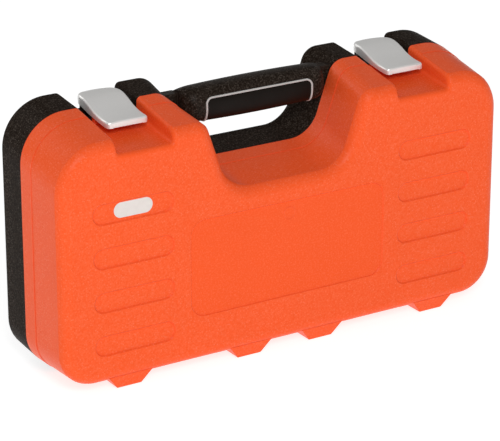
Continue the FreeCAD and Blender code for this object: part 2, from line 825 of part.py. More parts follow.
def socket(size, length, x, z):
    """Six-point socket standing on its square end, mouth toward the lid."""
    y = parting_y + well_level
    rd, rh = drive_end_radius(size), hex_end_radius(size)
    outer = [(0, 0), (0, rd - socket_chamfer), (-socket_chamfer, rd), (-socket_step_start, rd),
             (-socket_step_end, rh), (socket_chamfer - length, rh),
             (-length, rh - socket_chamfer), (-length, 0)]
    body = revolve_y(outer, x, y, z)
    half = drive_square / 2 + drive_clearance
    body = body.cut(box(x - half, x + half, y - socket_square_depth, y + 1, z - half, z + half))
    body = body.cut(cyl_y(min(socket_bore_radius, size * socket_bore_ratio), y - length, y, x, z))
    flats = size + hex_clearance
    body = body.cut(hex_prism(flats, y - length - 1, y - socket_step_end, x, z))
    corner = flats / math.sqrt(3)
    lead = revolve_y([(-length - 1, 0), (-length - 1, corner + socket_lead),
                      (socket_lead - length, corner - socket_lead), (socket_lead - length, 0)], x, y, z)
    return body.cut(lead)


# Places of the sockets in the row, from their sizes
places = []
edge = socket_row_start - drive_end_radius(row_sizes[0])
for size in row_sizes:
    radius = max(hex_end_radius(size), drive_end_radius(size))
    places.append((size, edge + radius, socket_row_z, socket_length, "socket_%02d" % size))
    edge = edge + 2 * radius + socket_row_gap
for size, x in big_sockets:
    length = socket_length + (size - row_sizes[-1]) * socket_growth
    places.append((size, x, big_socket_z, length, "socket_%02d" % size))
for size, x, z in plug_sockets:
    places.append((size, x, z, plug_length, "plug_socket_%02d" % size))
for size, x, z, length, name in places:
    socket(size, length, x, z).exportStep("parts/%s.step" % name)
inserts = []
for size, x, z in plug_sockets:
    seat_y = parting_y + well_level - socket_step_end
    ring = cyl_y(size / 2 - insert_clearance, seat_y - insert_length, seat_y, x, z)
    inserts.append(ring.cut(cyl_y(insert_bore, seat_y - insert_length, seat_y, x, z)))
Part.makeCompound(inserts).exportStep("parts/plug_inserts.step")


def detent(x, y, z, way, grow):
    """Detent bead sunk in a square drive, way pointing out of the face, grown for its seat."""
    r = detent_radius + grow
    reach = drive_square / 2 + detent_proud
    loop = [V(0, 0, reach - 2 * r), V(r, 0, reach - 2 * r), V(r, 0, reach - r),
            V(0.7 * r, 0, reach - 0.3 * r), V(0.3 * r, 0, reach), V(0, 0, reach)]
    bead = Part.Face(Part.makePolygon(loop + [loop[0]])).revolve(V(0, 0, 0), V(0, 0, 1), 360)
    bead.Placement = FreeCAD.Placement(V(x, y, z), FreeCAD.Rotation(V(0, 0, 1), way))
    return bead


def extension(start, length, y, z):
    """Extension bar along X: square hole at the right end, square drive at the left."""
    square, bevel = bar_square_length, drive_chamfer
    cup = length - bar_cup_length
    body = revolve_x([(square, 0), (square, bar_collar_radius - bevel), (square + bevel, bar_collar_radius),
                      (bar_collar_end, bar_collar_radius), (bar_collar_end + bar_taper, bar_radius),
                      (cup - bar_taper, bar_radius), (cup, bar_cup_radius), (length - bevel, bar_cup_radius),
                      (length, bar_cup_radius - bevel), (length, 0)], start, y, z)
    h = drive_square / 2
    male = box(start, start + square + bevel, y - h, y + h, z - h, z + h)
    male = male.makeChamfer(bevel, [e for e in male.Edges if e.BoundBox.XMax < start + 0.01])
    s = h + drive_clearance
    female = box(start + length - square, start + length + 1, y - s, y + s, z - s, z + s)
    body = fuse([body, male]).cut(female)
    spot = (start + bar_detent_from_end, y, z, V(0, -1, 0))
    return body.cut(detent(*spot, pin_clearance)), detent(*spot, 0.0)


bar_level = tray_top - bar_above_plate
long_body, long_ball = extension(long_bar_start, long_bar, bar_level, long_bar_z)
short_body, short_ball = extension(short_bar_start, short_bar, bar_level, short_bar_z)
long_body.exportStep("parts/extension_long.step")
short_body.exportStep("parts/extension_short.step")
Part.makeCompound([long_ball, short_ball]).exportStep("parts/extension_balls.step")

# Ratchet head: cover toward the lid, square drive into the tray
ry = parting_y + ratchet_level
head_top = ry - head_thickness / 2
head_low = ry + head_thickness / 2
cover_seat = head_top + cover_thickness
chamber_low = cover_seat + gear_thickness + 2 * gear_clearance
head = teardrop(head_radius, head_tail_radius, head_tail_reach, head_top, head_low, ratchet_x, ratchet_z)
head = head.makeFillet(head_edge_radius, edges_at_y(head, head_top) + edges_at_y(head, head_low))
tang_end = ratchet_length - tang_from_end
shank = revolve_x([(shank_root, 0), (shank_root, head_tail_radius), (shank_waist, shank_waist_radius),
                   (shank_straight, shank_radius), (grip_start, shank_radius), (grip_start, tang_radius),
                   (tang_end, tang_radius), (tang_end, 0)], ratchet_x, ry, ratchet_z)
body = fuse([head, shank])
pawl_x = ratchet_x + pawl_offset
plunger_x = pawl_x + pawl_radius + side_clearance
plunger_y = (cover_seat + chamber_low) / 2
rooms = [
    cyl_y(gear_radius + gear_clearance, cover_seat - 1, chamber_low, ratchet_x, ratchet_z),
    cyl_y(pawl_radius + pawl_gap, cover_seat - 1, chamber_low, pawl_x, ratchet_z),
    teardrop(cover_radius + cover_clearance, cover_tail_radius + cover_clearance, pawl_offset,
             head_top - 1, cover_seat, ratchet_x, ratchet_z),
    cyl_y(neck_radius + neck_hole_gap, chamber_low - 1, head_low + 1, ratchet_x, ratchet_z),
    cyl_x(plunger_radius + pin_clearance, pawl_x, plunger_x + plunger_length + pawl_gap,
          plunger_y, ratchet_z),
]
cover_screw_spots = []
for turn in cover_screw_turns:
    ring = cover_radius - cover_screw_inset
    cover_screw_spots.append((ratchet_x + ring * math.cos(math.radians(turn)),
                              ratchet_z + ring * math.sin(math.radians(turn))))
for x, z in cover_screw_spots:
    rooms.append(cyl_y(cover_screw_radius, cover_seat - 1, cover_seat + cover_screw_length + pawl_gap, x, z))
for room in rooms:
    body = body.cut(room)
body.exportStep("parts/ratchet_body.step")

plunger = cyl_x(plunger_radius, plunger_x, plunger_x + plunger_length, plunger_y, ratchet_z)
plunger.exportStep("parts/ratchet_plunger.step")

cover = teardrop(cover_radius, cover_tail_radius, pawl_offset, head_top, cover_seat, ratchet_x, ratchet_z)
cover = cover.cut(cyl_y(hub_radius + hub_gap, head_top - 1, cover_seat + 1, ratchet_x, ratchet_z))
cover = cover.cut(cyl_y(selector_radius + pin_clearance, head_top - 1, cover_seat + 1, pawl_x, ratchet_z))
screws = []
head_seat = head_top + cover_screw_sink
for x, z in cover_screw_spots:
    cover = cover.cut(cyl_y(cover_screw_radius + pin_clearance, head_top - 1, cover_seat + 1, x, z))
    cover = cover.cut(cyl_y(cover_screw_head + fit_clearance, head_top - 1, head_seat, x, z))
    top = cyl_y(cover_screw_head, head_top + fit_clearance, head_seat, x, z)
    shaft = cyl_y(cover_screw_radius - press_clearance, head_seat - pin_clearance,
                  cover_seat + cover_screw_length, x, z)
    screws.append(top.fuse(shaft))
cover.exportStep("parts/ratchet_cover.step")
Part.makeCompound(screws).exportStep("parts/ratchet_cover_screws.step")

sleeve = tang_radius + grip_clearance
inner_end = tang_end + fit_clearance
rounds = [(grip_start + along, radius) for along, radius in grip_profile]
inside = [(ratchet_length, 0), (inner_end, 0), (inner_end, sleeve), (rounds[0][0], sleeve)]
grip = revolve_x(rounds + inside, ratchet_x, ry, ratchet_z)
grip.exportStep("parts/ratchet_grip.step")

# Drive: hub in the cover, toothed wheel, neck and square
gear_top = cover_seat + gear_clearance
gear_low = gear_top + gear_thickness
points = []
for number in range(gear_teeth):
    for step, radius in ((0.0, gear_radius - tooth_depth), (0.5, gear_radius)):
        turn = 2 * math.pi * (number + step) / gear_teeth
        points.append(V(ratchet_x + radius * math.cos(turn), gear_top, ratchet_z + radius * math.sin(turn)))
wheel = polygon_prism(points, V(0, gear_thickness, 0))
hub = cyl_y(hub_radius, head_top, gear_top + 1, ratchet_x, ratchet_z)
neck = cyl_y(neck_radius, gear_low - 1, head_low + drive_step, ratchet_x, ratchet_z)
h = drive_square / 2
anvil_end = head_low + drive_length
anvil = box(ratchet_x - h, ratchet_x + h, head_low, anvil_end, ratchet_z - h, ratchet_z + h)
anvil = anvil.makeChamfer(drive_chamfer, [e for e in anvil.Edges if e.BoundBox.YMin > anvil_end - 0.01])
drive = fuse([hub, wheel, neck, anvil])
button_end = gear_top + button_sunk
well = cyl_y(button_radius + button_clearance, head_top - 1, button_end + button_travel + gear_clearance,
             ratchet_x, ratchet_z)
drive = drive.cut(well)
spot = (ratchet_x, anvil_end - bar_detent_from_end, ratchet_z, V(0, 0, 1))
drive = drive.cut(detent(*spot, pin_clearance))
drive.exportStep("parts/ratchet_drive.step")
detent(*spot, 0.0).exportStep("parts/ratchet_ball.step")
button = cyl_y(button_radius, head_top - button_proud, button_end, ratchet_x, ratchet_z)
button = button.makeFillet(button_edge_radius, edges_at_y(button, head_top - button_proud))
button.exportStep("parts/ratchet_button.step")

# Selector: lever on the cover, pawl below it
lever_low = head_top - side_clearance
lever_top = lever_low - lever_height
lever = teardrop(lever_hub_radius, lever_tip_radius, lever_length, lever_top, lever_low, pawl_x, ratchet_z)
lever = lever.makeFillet(lever_edge_radius, edges_at_y(lever, lever_top))
stem = cyl_y(selector_radius, lever_low - 1, cover_seat + side_clearance, pawl_x, ratchet_z)
fuse([lever, stem]).exportStep("parts/ratchet_selector.step")
pawl = cyl_y(pawl_radius, cover_seat + side_clearance, chamber_low - side_clearance, pawl_x, ratchet_z)
pawl = pawl.cut(box(pawl_x - pawl_radius - 1, pawl_x - pawl_radius + pawl_notch, cover_seat, chamber_low,
                    ratchet_z - pawl_notch_half, ratchet_z + pawl_notch_half))
pawl.exportStep("parts/ratchet_pawl.step")

# Tool tray: plate with cups and troughs hanging from it
tray_inset = wall + tray_margin
grow = pocket_clearance
floor_y = parting_y + well_level
plate = loft(base_outline(tray_level, tray_inset), base_outline(tray_level + tray_plate, tray_inset))
skins = [plate]
pockets = []
for size, x, z, length, name in places:
    radius = max(hex_end_radius(size), drive_end_radius(size)) + grow
    skins.append(cyl_y(radius + tray_wall, tray_top, floor_y + tray_wall, x, z))
    pockets.append(cyl_y(radius, tray_top - 1, floor_y, x, z))
troughs = []
for start, length, z in ((long_bar_start, long_bar, long_bar_z), (short_bar_start, short_bar, short_bar_z)):
    collar = bar_collar_end + bar_taper
    cup = length - bar_cup_length - bar_taper
    troughs.append((start, start + collar, bar_collar_radius, bar_level, z))
    troughs.append((start + collar, start + cup, bar_radius, bar_level, z))
    troughs.append((start + cup, start + length, bar_cup_radius, bar_level, z))
for x0, x1, radius in ((shank_root, shank_straight, head_tail_radius),
                       (shank_straight, grip_start, shank_radius), (grip_start, ratchet_length, grip_radius)):
    troughs.append((ratchet_x + x0, ratchet_x + x1, radius, ry, ratchet_z))
for x0, x1, radius, y, z in troughs:
    a, b, r = x0 - grow, x1 + grow, radius + grow
    skins.append(cyl_x(r + tray_wall, a - tray_wall, b + tray_wall, y, z))
    pockets.append(cyl_x(r, a, b, y, z))
rim = grow + tray_wall
skins.append(teardrop(head_radius + rim, head_tail_radius + rim, head_tail_reach,
                      tray_top, head_low + tray_wall, ratchet_x, ratchet_z))
pockets.append(teardrop(head_radius + grow, head_tail_radius + grow, head_tail_reach, tray_top - 1, head_low,
                        ratchet_x, ratchet_z))
skins.append(cyl_y(drive_well_radius + tray_wall, head_low, floor_y + tray_wall, ratchet_x, ratchet_z))
pockets.append(cyl_y(drive_well_radius, head_low - 1, floor_y, ratchet_x, ratchet_z))
tray = fuse(skins)
tray = tray.cut(box(-case_width, case_width, lid_front_y, tray_top, 0, 2 * shoulder_height))
tray = tray.cut(pockets[0].multiFuse(pockets[1:]))
for side in (-1, 1):
    front, back = channel_cutter(side, tray_inset)
    tray = tray.cut(front.fuse(back))
    tray = tray.cut(hinge_recess_block(side, tray_inset))
clear_half = tenon_reach + tray_boss_radius
tray = tray.cut(box(-clear_half, clear_half, lid_front_y, base_back_y, notch_height, 2 * shoulder_height))
for x, z in tray_screw_places:
    tray = tray.cut(cyl_y(screw_radius + fit_clearance, tray_top - 1, tray_top + tray_plate + 1, x, z))
tray.exportStep("parts/tool_tray.step")
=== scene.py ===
import math

import bmesh
import bpy
from bpy.props import FloatProperty, FloatVectorProperty, IntProperty, PointerProperty
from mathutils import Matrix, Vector


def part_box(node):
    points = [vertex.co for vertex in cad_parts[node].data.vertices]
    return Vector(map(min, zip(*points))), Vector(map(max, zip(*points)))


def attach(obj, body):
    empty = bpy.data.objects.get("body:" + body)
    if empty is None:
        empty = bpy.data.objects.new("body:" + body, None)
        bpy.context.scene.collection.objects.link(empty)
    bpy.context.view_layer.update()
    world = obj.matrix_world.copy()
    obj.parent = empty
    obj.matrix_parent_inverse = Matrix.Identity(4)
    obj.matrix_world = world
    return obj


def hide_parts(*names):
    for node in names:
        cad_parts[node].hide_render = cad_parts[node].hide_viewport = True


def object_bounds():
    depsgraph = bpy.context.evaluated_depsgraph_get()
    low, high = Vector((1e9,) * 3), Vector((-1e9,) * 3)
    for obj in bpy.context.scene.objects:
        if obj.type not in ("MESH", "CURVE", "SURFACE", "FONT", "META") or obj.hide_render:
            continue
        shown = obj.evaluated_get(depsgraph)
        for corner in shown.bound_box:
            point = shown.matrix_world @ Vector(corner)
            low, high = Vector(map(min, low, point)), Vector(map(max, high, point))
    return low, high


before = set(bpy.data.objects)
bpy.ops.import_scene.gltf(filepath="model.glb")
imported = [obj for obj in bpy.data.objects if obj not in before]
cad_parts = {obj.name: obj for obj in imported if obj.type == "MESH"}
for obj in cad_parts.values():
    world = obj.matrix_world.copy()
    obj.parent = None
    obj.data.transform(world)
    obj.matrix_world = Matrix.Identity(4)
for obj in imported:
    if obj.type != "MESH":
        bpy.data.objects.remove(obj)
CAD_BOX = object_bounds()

bl_info = {
    "name": "Socket Set Case",
    "version": (1, 0, 0),
    "blender": (4, 5, 0),
    "location": "View3D > Sidebar > Socket Case",
    "description": "Finishes, small details and a studio stage for a socket wrench set in its carry case",
    "category": "Object",
}

PHOTO_WIDTH = 500
SENSOR_WIDTH = 36.0
CLIP_NEAR, CLIP_FAR = 0.05, 50.0
LIGHT_AIM = Vector((0, 0, 0.1))
SHARP_ANGLE = math.radians(35)
AXIS_X, AXIS_Y, AXIS_Z = Vector((1, 0, 0)), Vector((0, 1, 0)), Vector((0, 0, 1))

# Places and sizes of the frame's shapes, in metres
LID_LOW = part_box("lid_shell")[0]
PILL_DEPTH = 0.0011
PANEL_DEPTH = 0.0006
CHANNEL_X = 0.1220
CHANNEL_HALF = 0.0250
CHANNEL_Z = 0.2000
CHANNEL_RISE = 0.0205
CHANNEL_SOFT = 0.0015
PANEL_HALF = 0.0860
PANEL_Z = 0.0825
PANEL_RISE = 0.0385
PANEL_FRONT = (-0.03, -0.02)
SIDE_SOFT = 0.0006

# Handle: section in Y and Z, and places along X
HANDLE_END = 0.0620
HANDLE_MIDDLE = Vector((0.0090, 0.1920))
HANDLE_OUTLINE = ((0.0130, 0.1780), (0.0060, 0.1780), (-0.0010, 0.1782), (-0.0050, 0.1840), (-0.0050, 0.1960),
                  (0.0005, 0.2045), (0.0090, 0.2060), (0.0170, 0.2045), (0.0230, 0.1980), (0.0230, 0.1840),
                  (0.0180, 0.1780))
HANDLE_CUTS = 3
HANDLE_STATIONS = 12
HANDLE_END_TURNS = [math.radians(9 * number) for number in range(10)]
HANDLE_END_SHARE = 0.6
TENON_LOW = Vector((0.0120, 0.1820))
TENON_HIGH = Vector((0.0220, 0.2000))
TENON_END = 0.0840
INLAY_LIFTS = (0.0002, -0.0005)
INLAY_ROWS = 16
INLAY_COLUMNS = 24
INLAY_CORNER_TURNS = [math.radians(10 * number) for number in range(10)]
BEAD_LIFT = 0.0001
BEAD_STEPS = 10
STEEP = 0.8

# Latch levers: lines from tail to nose and outlines in Y and Z
LEVER_BACK, LEVER_FRONT = 0.0360, -0.0200
LEVER_TOP = ((LEVER_BACK, 0.2066), (0.0300, 0.2080), (0.0235, CAD_BOX[1][2] - 1e-7), (0.0170, 0.2080),
             (0.0090, 0.2055), (0.0010, 0.2024), (-0.0070, 0.2005), (-0.0140, 0.1998), (LEVER_FRONT, 0.1996))
LEVER_SKIRT = ((LEVER_BACK, 0.2024), (0.0220, 0.2010), (0.0100, 0.1984), (0.0050, 0.1976), (0.0, 0.1968),
               (-0.0100, 0.1954), (LEVER_FRONT, 0.1945))
LEVER_HALF = 0.0170
LEVER_TAIL = 0.0143
LEVER_NOSE = 0.0030
LEVER_STATIONS = 30
LEVER_TURNS = [math.radians(15 * number) for number in range(7)]
RIM_OF_HALF, RIM_OF_HEIGHT, WALL_OF_HALF = 0.85, 0.6, 0.45
LEVER_FLOOR = 0.0003
LEVER_CORNER = 0.0001
LEVER_PIVOT = (0.0300, 0.1979)
LEVER_BARREL = 0.0036
LEVER_BORE = 0.00165
LEVER_KNUCKLE = 0.0070
KNUCKLE_STEPS = 32
LEVER_WEB = ((0.0264, 0.1997), (0.0336, 0.1997), (0.0336, 0.2061), (0.0264, 0.2067))
LEVER_HOOK = ((0.0021, 0.1962), (0.0061, 0.1962), (0.0047, 0.1976), (0.0047, 0.2022), (0.0021, 0.2012))
LEVER_HOOK_HALF = 0.0130

# Ratchet grip: distance along it and radius
GRIP_PROFILE = ((0.0, 0.0096), (0.0027, 0.0110), (0.0157, 0.0122), (0.0337, 0.0140), (0.0617, 0.0130),
                (0.0837, 0.0126), (0.1037, 0.0134), (0.1147, 0.0124), (0.1177, 0.0090))
GRIP_GROOVES = (0.0337, 0.1037)
GRIP_STEPS = 48
GRIP_BORE = 0.0056
GRIP_BORE_END = 0.1139

# Knurled bands: ends from the bar's own end, and radius
COLLAR_BAND = (0.0175, 0.0270, 0.0090)
CUP_BAND = (0.0220, 0.0100, 0.0120)

# Screws: head height, shank radius and the level share of the head
SCREW_STEPS = 32
TRAY_SCREW = (0.0018, 0.0015, 0.66)
COVER_SCREW = (0.0010, 0.0011, 0.90)

# Sticker, and moulding mark: distance from its seat, and distance in from its rim
STICKER_STEPS = 48
GATE_STEPS = 40
GATE_SINK = 0.0002
GATE_RIM = ((-0.0001, 0.0), (-0.00022, 0.0003), (-0.0001, 0.0006), (-0.00003, 0.0007))

# Grain and wear of the finishes, and sizes of their painted shade and painted highlights
WHITE = (1.0, 1.0, 1.0)
NOISE_RANGE = (0.3, 0.7)
MASK_SAMPLES = 6
CLOUD_SIZE = 0.06
CREVICE_SHADE_REACH = 0.0035
RUB_AND_HIGHLIGHT_RADIUS = 0.0012
EDGE_SHADE_RADIUS = 0.0016
SILVER_HIGHLIGHT_RADIUS = 0.0008
SMOOTH_GRAIN = 0.45
# Shares of each channel kept in the deeper colour of the painted shade
PAINTED_SHADE_SHARES = (0.95, 0.55, 0.3)


# Settings that a user would change

def setting(kind, **options):
    """Maker of settings of one kind, from a name, a description and a value."""
    return lambda name, description, value: kind(name=name, description=description, default=value, **options)


colour = setting(FloatVectorProperty, subtype="COLOR", size=3, min=0.0, max=1.0)
position = setting(FloatVectorProperty, subtype="TRANSLATION", size=3, unit="LENGTH")
length = setting(FloatProperty, subtype="DISTANCE", precision=5, unit="LENGTH")
angle = setting(FloatProperty, subtype="ANGLE", unit="ROTATION")
power = setting(FloatProperty, min=0.0, unit="POWER")
amount = setting(FloatProperty, min=0.0)
fraction = setting(FloatProperty, subtype="FACTOR", min=0.0, max=1.0)
whole = setting(IntProperty, min=1)


class CaseFinish(bpy.types.PropertyGroup):
    """Colours and grain of the case."""
    lid_colour: colour("Lid", "Orange of the lid shell", (0.90, 0.098, 0.019))
    lid_fleck: colour("Lid fleck", "Pale tips of the lid's grain", (0.95, 0.175, 0.075))
    base_colour: colour("Base", "Black of the base shell and the handle", (0.010, 0.0055, 0.0030))
    base_fleck: colour("Base fleck", "Pale tips of the base's grain", (0.086, 0.068, 0.056))
    latch_colour: colour("Latch", "Silver of the latches", (0.92, 0.905, 0.88))
    piping_colour: colour("Piping", "Pale line round the handle inlay", (0.52, 0.50, 0.485))
    inlay_colour: colour("Inlay", "Dark inlay of the handle", (0.008, 0.0055, 0.004))
    sticker_colour: colour("Sticker", "Bare pale sticker", (0.72, 0.67, 0.635))
    shell_roughness: fraction("Shell roughness", "Roughness of the moulded shells", 0.33)
    lid_shine: fraction("Lid shine", "Gloss of the lid shell", 0.09)
    base_shine: fraction("Base shine", "Gloss of the base shell", 0.01)
    handle_shine: fraction("Handle shine", "Gloss of the handle", 0.06)
    grain_size: length("Grain size", "Size of the moulded grain", 0.0013)
    grain_depth: length("Grain depth", "Depth of the moulded grain", 0.00016)


class ToolFinish(bpy.types.PropertyGroup):
    """Colours and gloss of the tools and their tray."""
    chrome_colour: colour("Chrome", "Plate of the sockets, bars and ratchet", (0.62, 0.63, 0.65))
    chrome_roughness: fraction("Chrome roughness", "Roughness of the plate", 0.14)
    steel_colour: colour("Steel", "Screws, balls and small inner parts", (0.48, 0.48, 0.49))
    # The pins' dark colour is painted shade, standing in for the shadow under the latches
    pin_shade_colour: colour("Pins", "Blackened steel of the hinge and latch pins", (0.07, 0.068, 0.066))
    tray_colour: colour("Tray", "Formed plastic tray", (0.018, 0.018, 0.019))
    rubber_colour: colour("Rubber", "Grip and plug socket inserts", (0.014, 0.014, 0.015))


class DetailSizes(bpy.types.PropertyGroup):
    """Sizes and places of the small details."""
    sticker_x: length("Sticker across", "Centre of the sticker from the case's middle", -0.133)
    sticker_z: length("Sticker height", "Centre of the sticker above the floor", 0.1416)
    sticker_length: length("Sticker length", "Length of the sticker", 0.032)
    sticker_width: length("Sticker width", "Width of the sticker", 0.0118)
    sticker_thickness: length("Sticker thickness", "Thickness of the sticker", 0.00016)
    gate_x: length("Gate across", "Centre of the moulding mark from the case's middle", 0.0004)
    gate_z: length("Gate height", "Centre of the moulding mark above the floor", 0.111)
    gate_radius: length("Gate radius", "Radius of the moulding mark", 0.0052)
    handle_barrel: fraction("Handle barrel", "Share by which the handle is slimmer at its ends", 0.09)
    handle_end_round: length("Handle end rounding", "Rounding of the handle's ends", 0.011)
    inlay_half: length("Inlay half length", "Half the length of the handle's inlay", 0.0465)
    inlay_top: length("Inlay top", "Height of the inlay's upper edge above the floor", 0.1975)
    inlay_corner: length("Inlay corner", "Radius of the inlay's upper corners", 0.0050)
    piping_radius: length("Piping radius", "Radius of the bead round the inlay", 0.0008)
    lever_wall: length("Latch wall", "Wall of the latch levers", 0.0016)
    lever_rim: length("Latch rim", "Rounding along the sides of the levers", 0.0018)
    lever_nose_round: length("Latch nose rounding", "Rounding over the nose of the levers", 0.0013)
    lever_tail_round: length("Latch tail rounding", "Rounding over the tail of the levers", 0.0024)
    lever_crown: length("Latch crown", "Rise of the levers from their sides to their middle", 0.0005)
    knurl_teeth: whole("Knurl teeth", "Teeth round a knurled band", 48)
    knurl_depth: length("Knurl depth", "Depth of a knurled band's teeth", 0.0003)
    grip_grooves: whole("Grip grooves", "Grooves round the ratchet's grip", 12)
    groove_depth: length("Groove depth", "Depth of the grip's grooves", 0.0008)


class StageSetup(bpy.types.PropertyGroup):
    """Camera, lights and floor."""
    look_at: position("Look at", "Point in the middle of the view", (-0.0001, 0.0100, 0.0869))
    azimuth: angle("Azimuth", "Camera's turn to the left of the front", math.radians(31.8))
    elevation: angle("Elevation", "Camera's angle above the horizon", math.radians(20.9))
    distance: length("Distance", "Camera's distance from the point it looks at", 1.9411)
    focal_pixels: amount("Focal length", "Focal length in pixels of the view's width", 2519.3)
    floor_colour: colour("Floor", "Plain pale floor", (0.48, 0.48, 0.48))
    floor_glow: amount("Floor glow", "Light from the lit floor table", 0.78)
    floor_size: length("Floor size", "Side of the floor", 16.0)
    sky_low: amount("Sky at the horizon", "Strength of the studio light from the sides", 0.34)
    sky_high: amount("Sky overhead", "Strength of the studio light from above", 0.32)
    key_power: power("Key", "Power of the main light", 22.0)
    key_place: position("Key place", "Place of the main light", (-0.80, -1.62, 1.32))
    key_size: length("Key size", "Side of the main light", 0.6)
    fill_power: power("Fill", "Power of the fill light", 9.0)
    fill_place: position("Fill place", "Place of the fill light", (-0.7, 2.0, 1.2))
    fill_size: length("Fill size", "Side of the fill light", 1.2)


# Material building blocks

def feed(tree, target, value):
    """Link a socket to a node's input, or set the input to a plain number or colour."""
    if isinstance(value, bpy.types.NodeSocket):
        tree.links.new(value, target)
    elif isinstance(value, (int, float)):
        target.default_value = value
    else:
        target.default_value = (*value, 1.0)


def add_node(tree, kind, inputs, **options):
    """New node with its options and inputs; returns its outputs."""
    node = tree.nodes.new("ShaderNode" + kind)
    for name, value in options.items():
        setattr(node, name, value)
    for name, value in inputs.items():
        feed(tree, node.inputs[name], value)
    return node.outputs


def start_material(name):
    """New material with one shader; returns it, its tree, the shader and coordinates fixed to the piece."""
    material = bpy.data.materials.new(name)
    material.use_nodes = True
    tree = material.node_tree
    tree.nodes.clear()
    shader = tree.nodes.new("ShaderNodeBsdfPrincipled")
    add_node(tree, "OutputMaterial", {"Surface": shader.outputs["BSDF"]})
    return material, tree, shader, add_node(tree, "TexCoord", {})["Object"]


def noise(tree, coords, size, detail, roughness):
    """Noise with features of a size in metres."""
    inputs = {"Vector": coords, "Scale": 1.0 / size, "Detail": detail, "Roughness": roughness}
    return add_node(tree, "TexNoise", inputs)["Fac"]


def cells(tree, coords, size):
    """Rounded cells of a size in metres: distance from each middle, and a chance value for each cell."""
    outputs = add_node(tree, "TexVoronoi", {"Vector": coords, "Scale": 1.0 / size})
    return outputs["Distance"], add_node(tree, "SeparateColor", {"Color": outputs["Color"]})["Red"]


def spread(tree, source, low, high, start=0.0, end=1.0):
    """Source from start to end, spread over low to high."""
    inputs = {"Value": source, "From Min": start, "From Max": end, "To Min": low, "To Max": high}
    return add_node(tree, "MapRange", inputs)["Result"]


def combine(tree, operation, first, second):
    """Two heights or masks joined by a sum of any kind; second may be a number."""
    return add_node(tree, "Math", {0: first, 1: second}, operation=operation)["Value"]


def product(tree, first, second):
    """Two masks multiplied; second may be a number."""
    return combine(tree, "MULTIPLY", first, second)


def blend_colour(tree, mask, plain, other):
    """Colour that goes from plain to other with the mask; either may be a socket."""
    return add_node(tree, "Mix", {"Factor": mask, 6: plain, 7: other}, data_type="RGBA")[2]


def tint(value, factor):
    """A colour made lighter or darker by a factor."""
    return tuple(min(1.0, part * factor) for part in value)


def between(tree, source, centre, half, soft):
    """White where the source is within half of a centre, with soft ends."""
    away = combine(tree, "ABSOLUTE", combine(tree, "SUBTRACT", source, centre), 0.0)
    return spread(tree, away, 1.0, 0.0, half - soft, half + soft)


def smooth_places(tree, coords):
    """White in the bare panel and in the latch channels, which are moulded with less grain."""
    x, y, z = add_node(tree, "SeparateXYZ", {"Vector": coords})
    side = combine(tree, "ABSOLUTE", x, 0.0)
    channel = product(tree, between(tree, side, CHANNEL_X, CHANNEL_HALF, SIDE_SOFT),
                      between(tree, z, CHANNEL_Z, CHANNEL_RISE, CHANNEL_SOFT))
    panel = product(tree, between(tree, side, 0.0, PANEL_HALF, SIDE_SOFT),
                    between(tree, z, PANEL_Z, PANEL_RISE, SIDE_SOFT))
    front = spread(tree, y, 1.0, 0.0, *PANEL_FRONT)
    return combine(tree, "MAXIMUM", channel, product(tree, panel, front))


def edge_mask(tree, radius):
    """White along edges tighter than a radius, black on open faces."""
    bevelled = add_node(tree, "Bevel", {"Radius": radius}, samples=MASK_SAMPLES)["Normal"]
    plain = add_node(tree, "NewGeometry", {})["Normal"]
    likeness = add_node(tree, "VectorMath", {0: bevelled, 1: plain}, operation="DOT_PRODUCT")["Value"]
    return spread(tree, likeness, 1.0, 0.0, 0.90, 0.998)


def painted_crevice_shade(tree, reach):
    """White in corners and grooves within a reach, black on open faces; the mask of the painted shade in
    corners and grooves.
    """
    inputs = {"Distance": reach}
    openness = add_node(tree, "AmbientOcclusion", inputs, samples=MASK_SAMPLES, only_local=True)["AO"]
    return spread(tree, openness, 1.0, 0.0, 0.45, 0.95)


def painted_edge_shades(tree):
    """Masks of the edges that face up and of the edges that face down, for the painted shade along them."""
    edges = edge_mask(tree, EDGE_SHADE_RADIUS)
    normal = add_node(tree, "TexCoord", {})["Normal"]
    rise = add_node(tree, "SeparateXYZ", {"Vector": normal})["Z"]
    facing = [spread(tree, rise, 0.0, 1.0, *reach) for reach in ((0.12, 0.5), (-0.12, -0.5))]
    return [product(tree, edges, mask) for mask in facing]


def dress(tree, shader, shade, roughness, height, depth):
    """Colour, roughness and bump of a shader from sockets; depth of the bump in metres."""
    bump = add_node(tree, "Bump", {"Strength": 1.0, "Distance": depth, "Height": height})["Normal"]
    for name, value in (("Base Color", shade), ("Roughness", roughness), ("Normal", bump)):
        tree.links.new(value, shader.inputs[name])


# Finishes

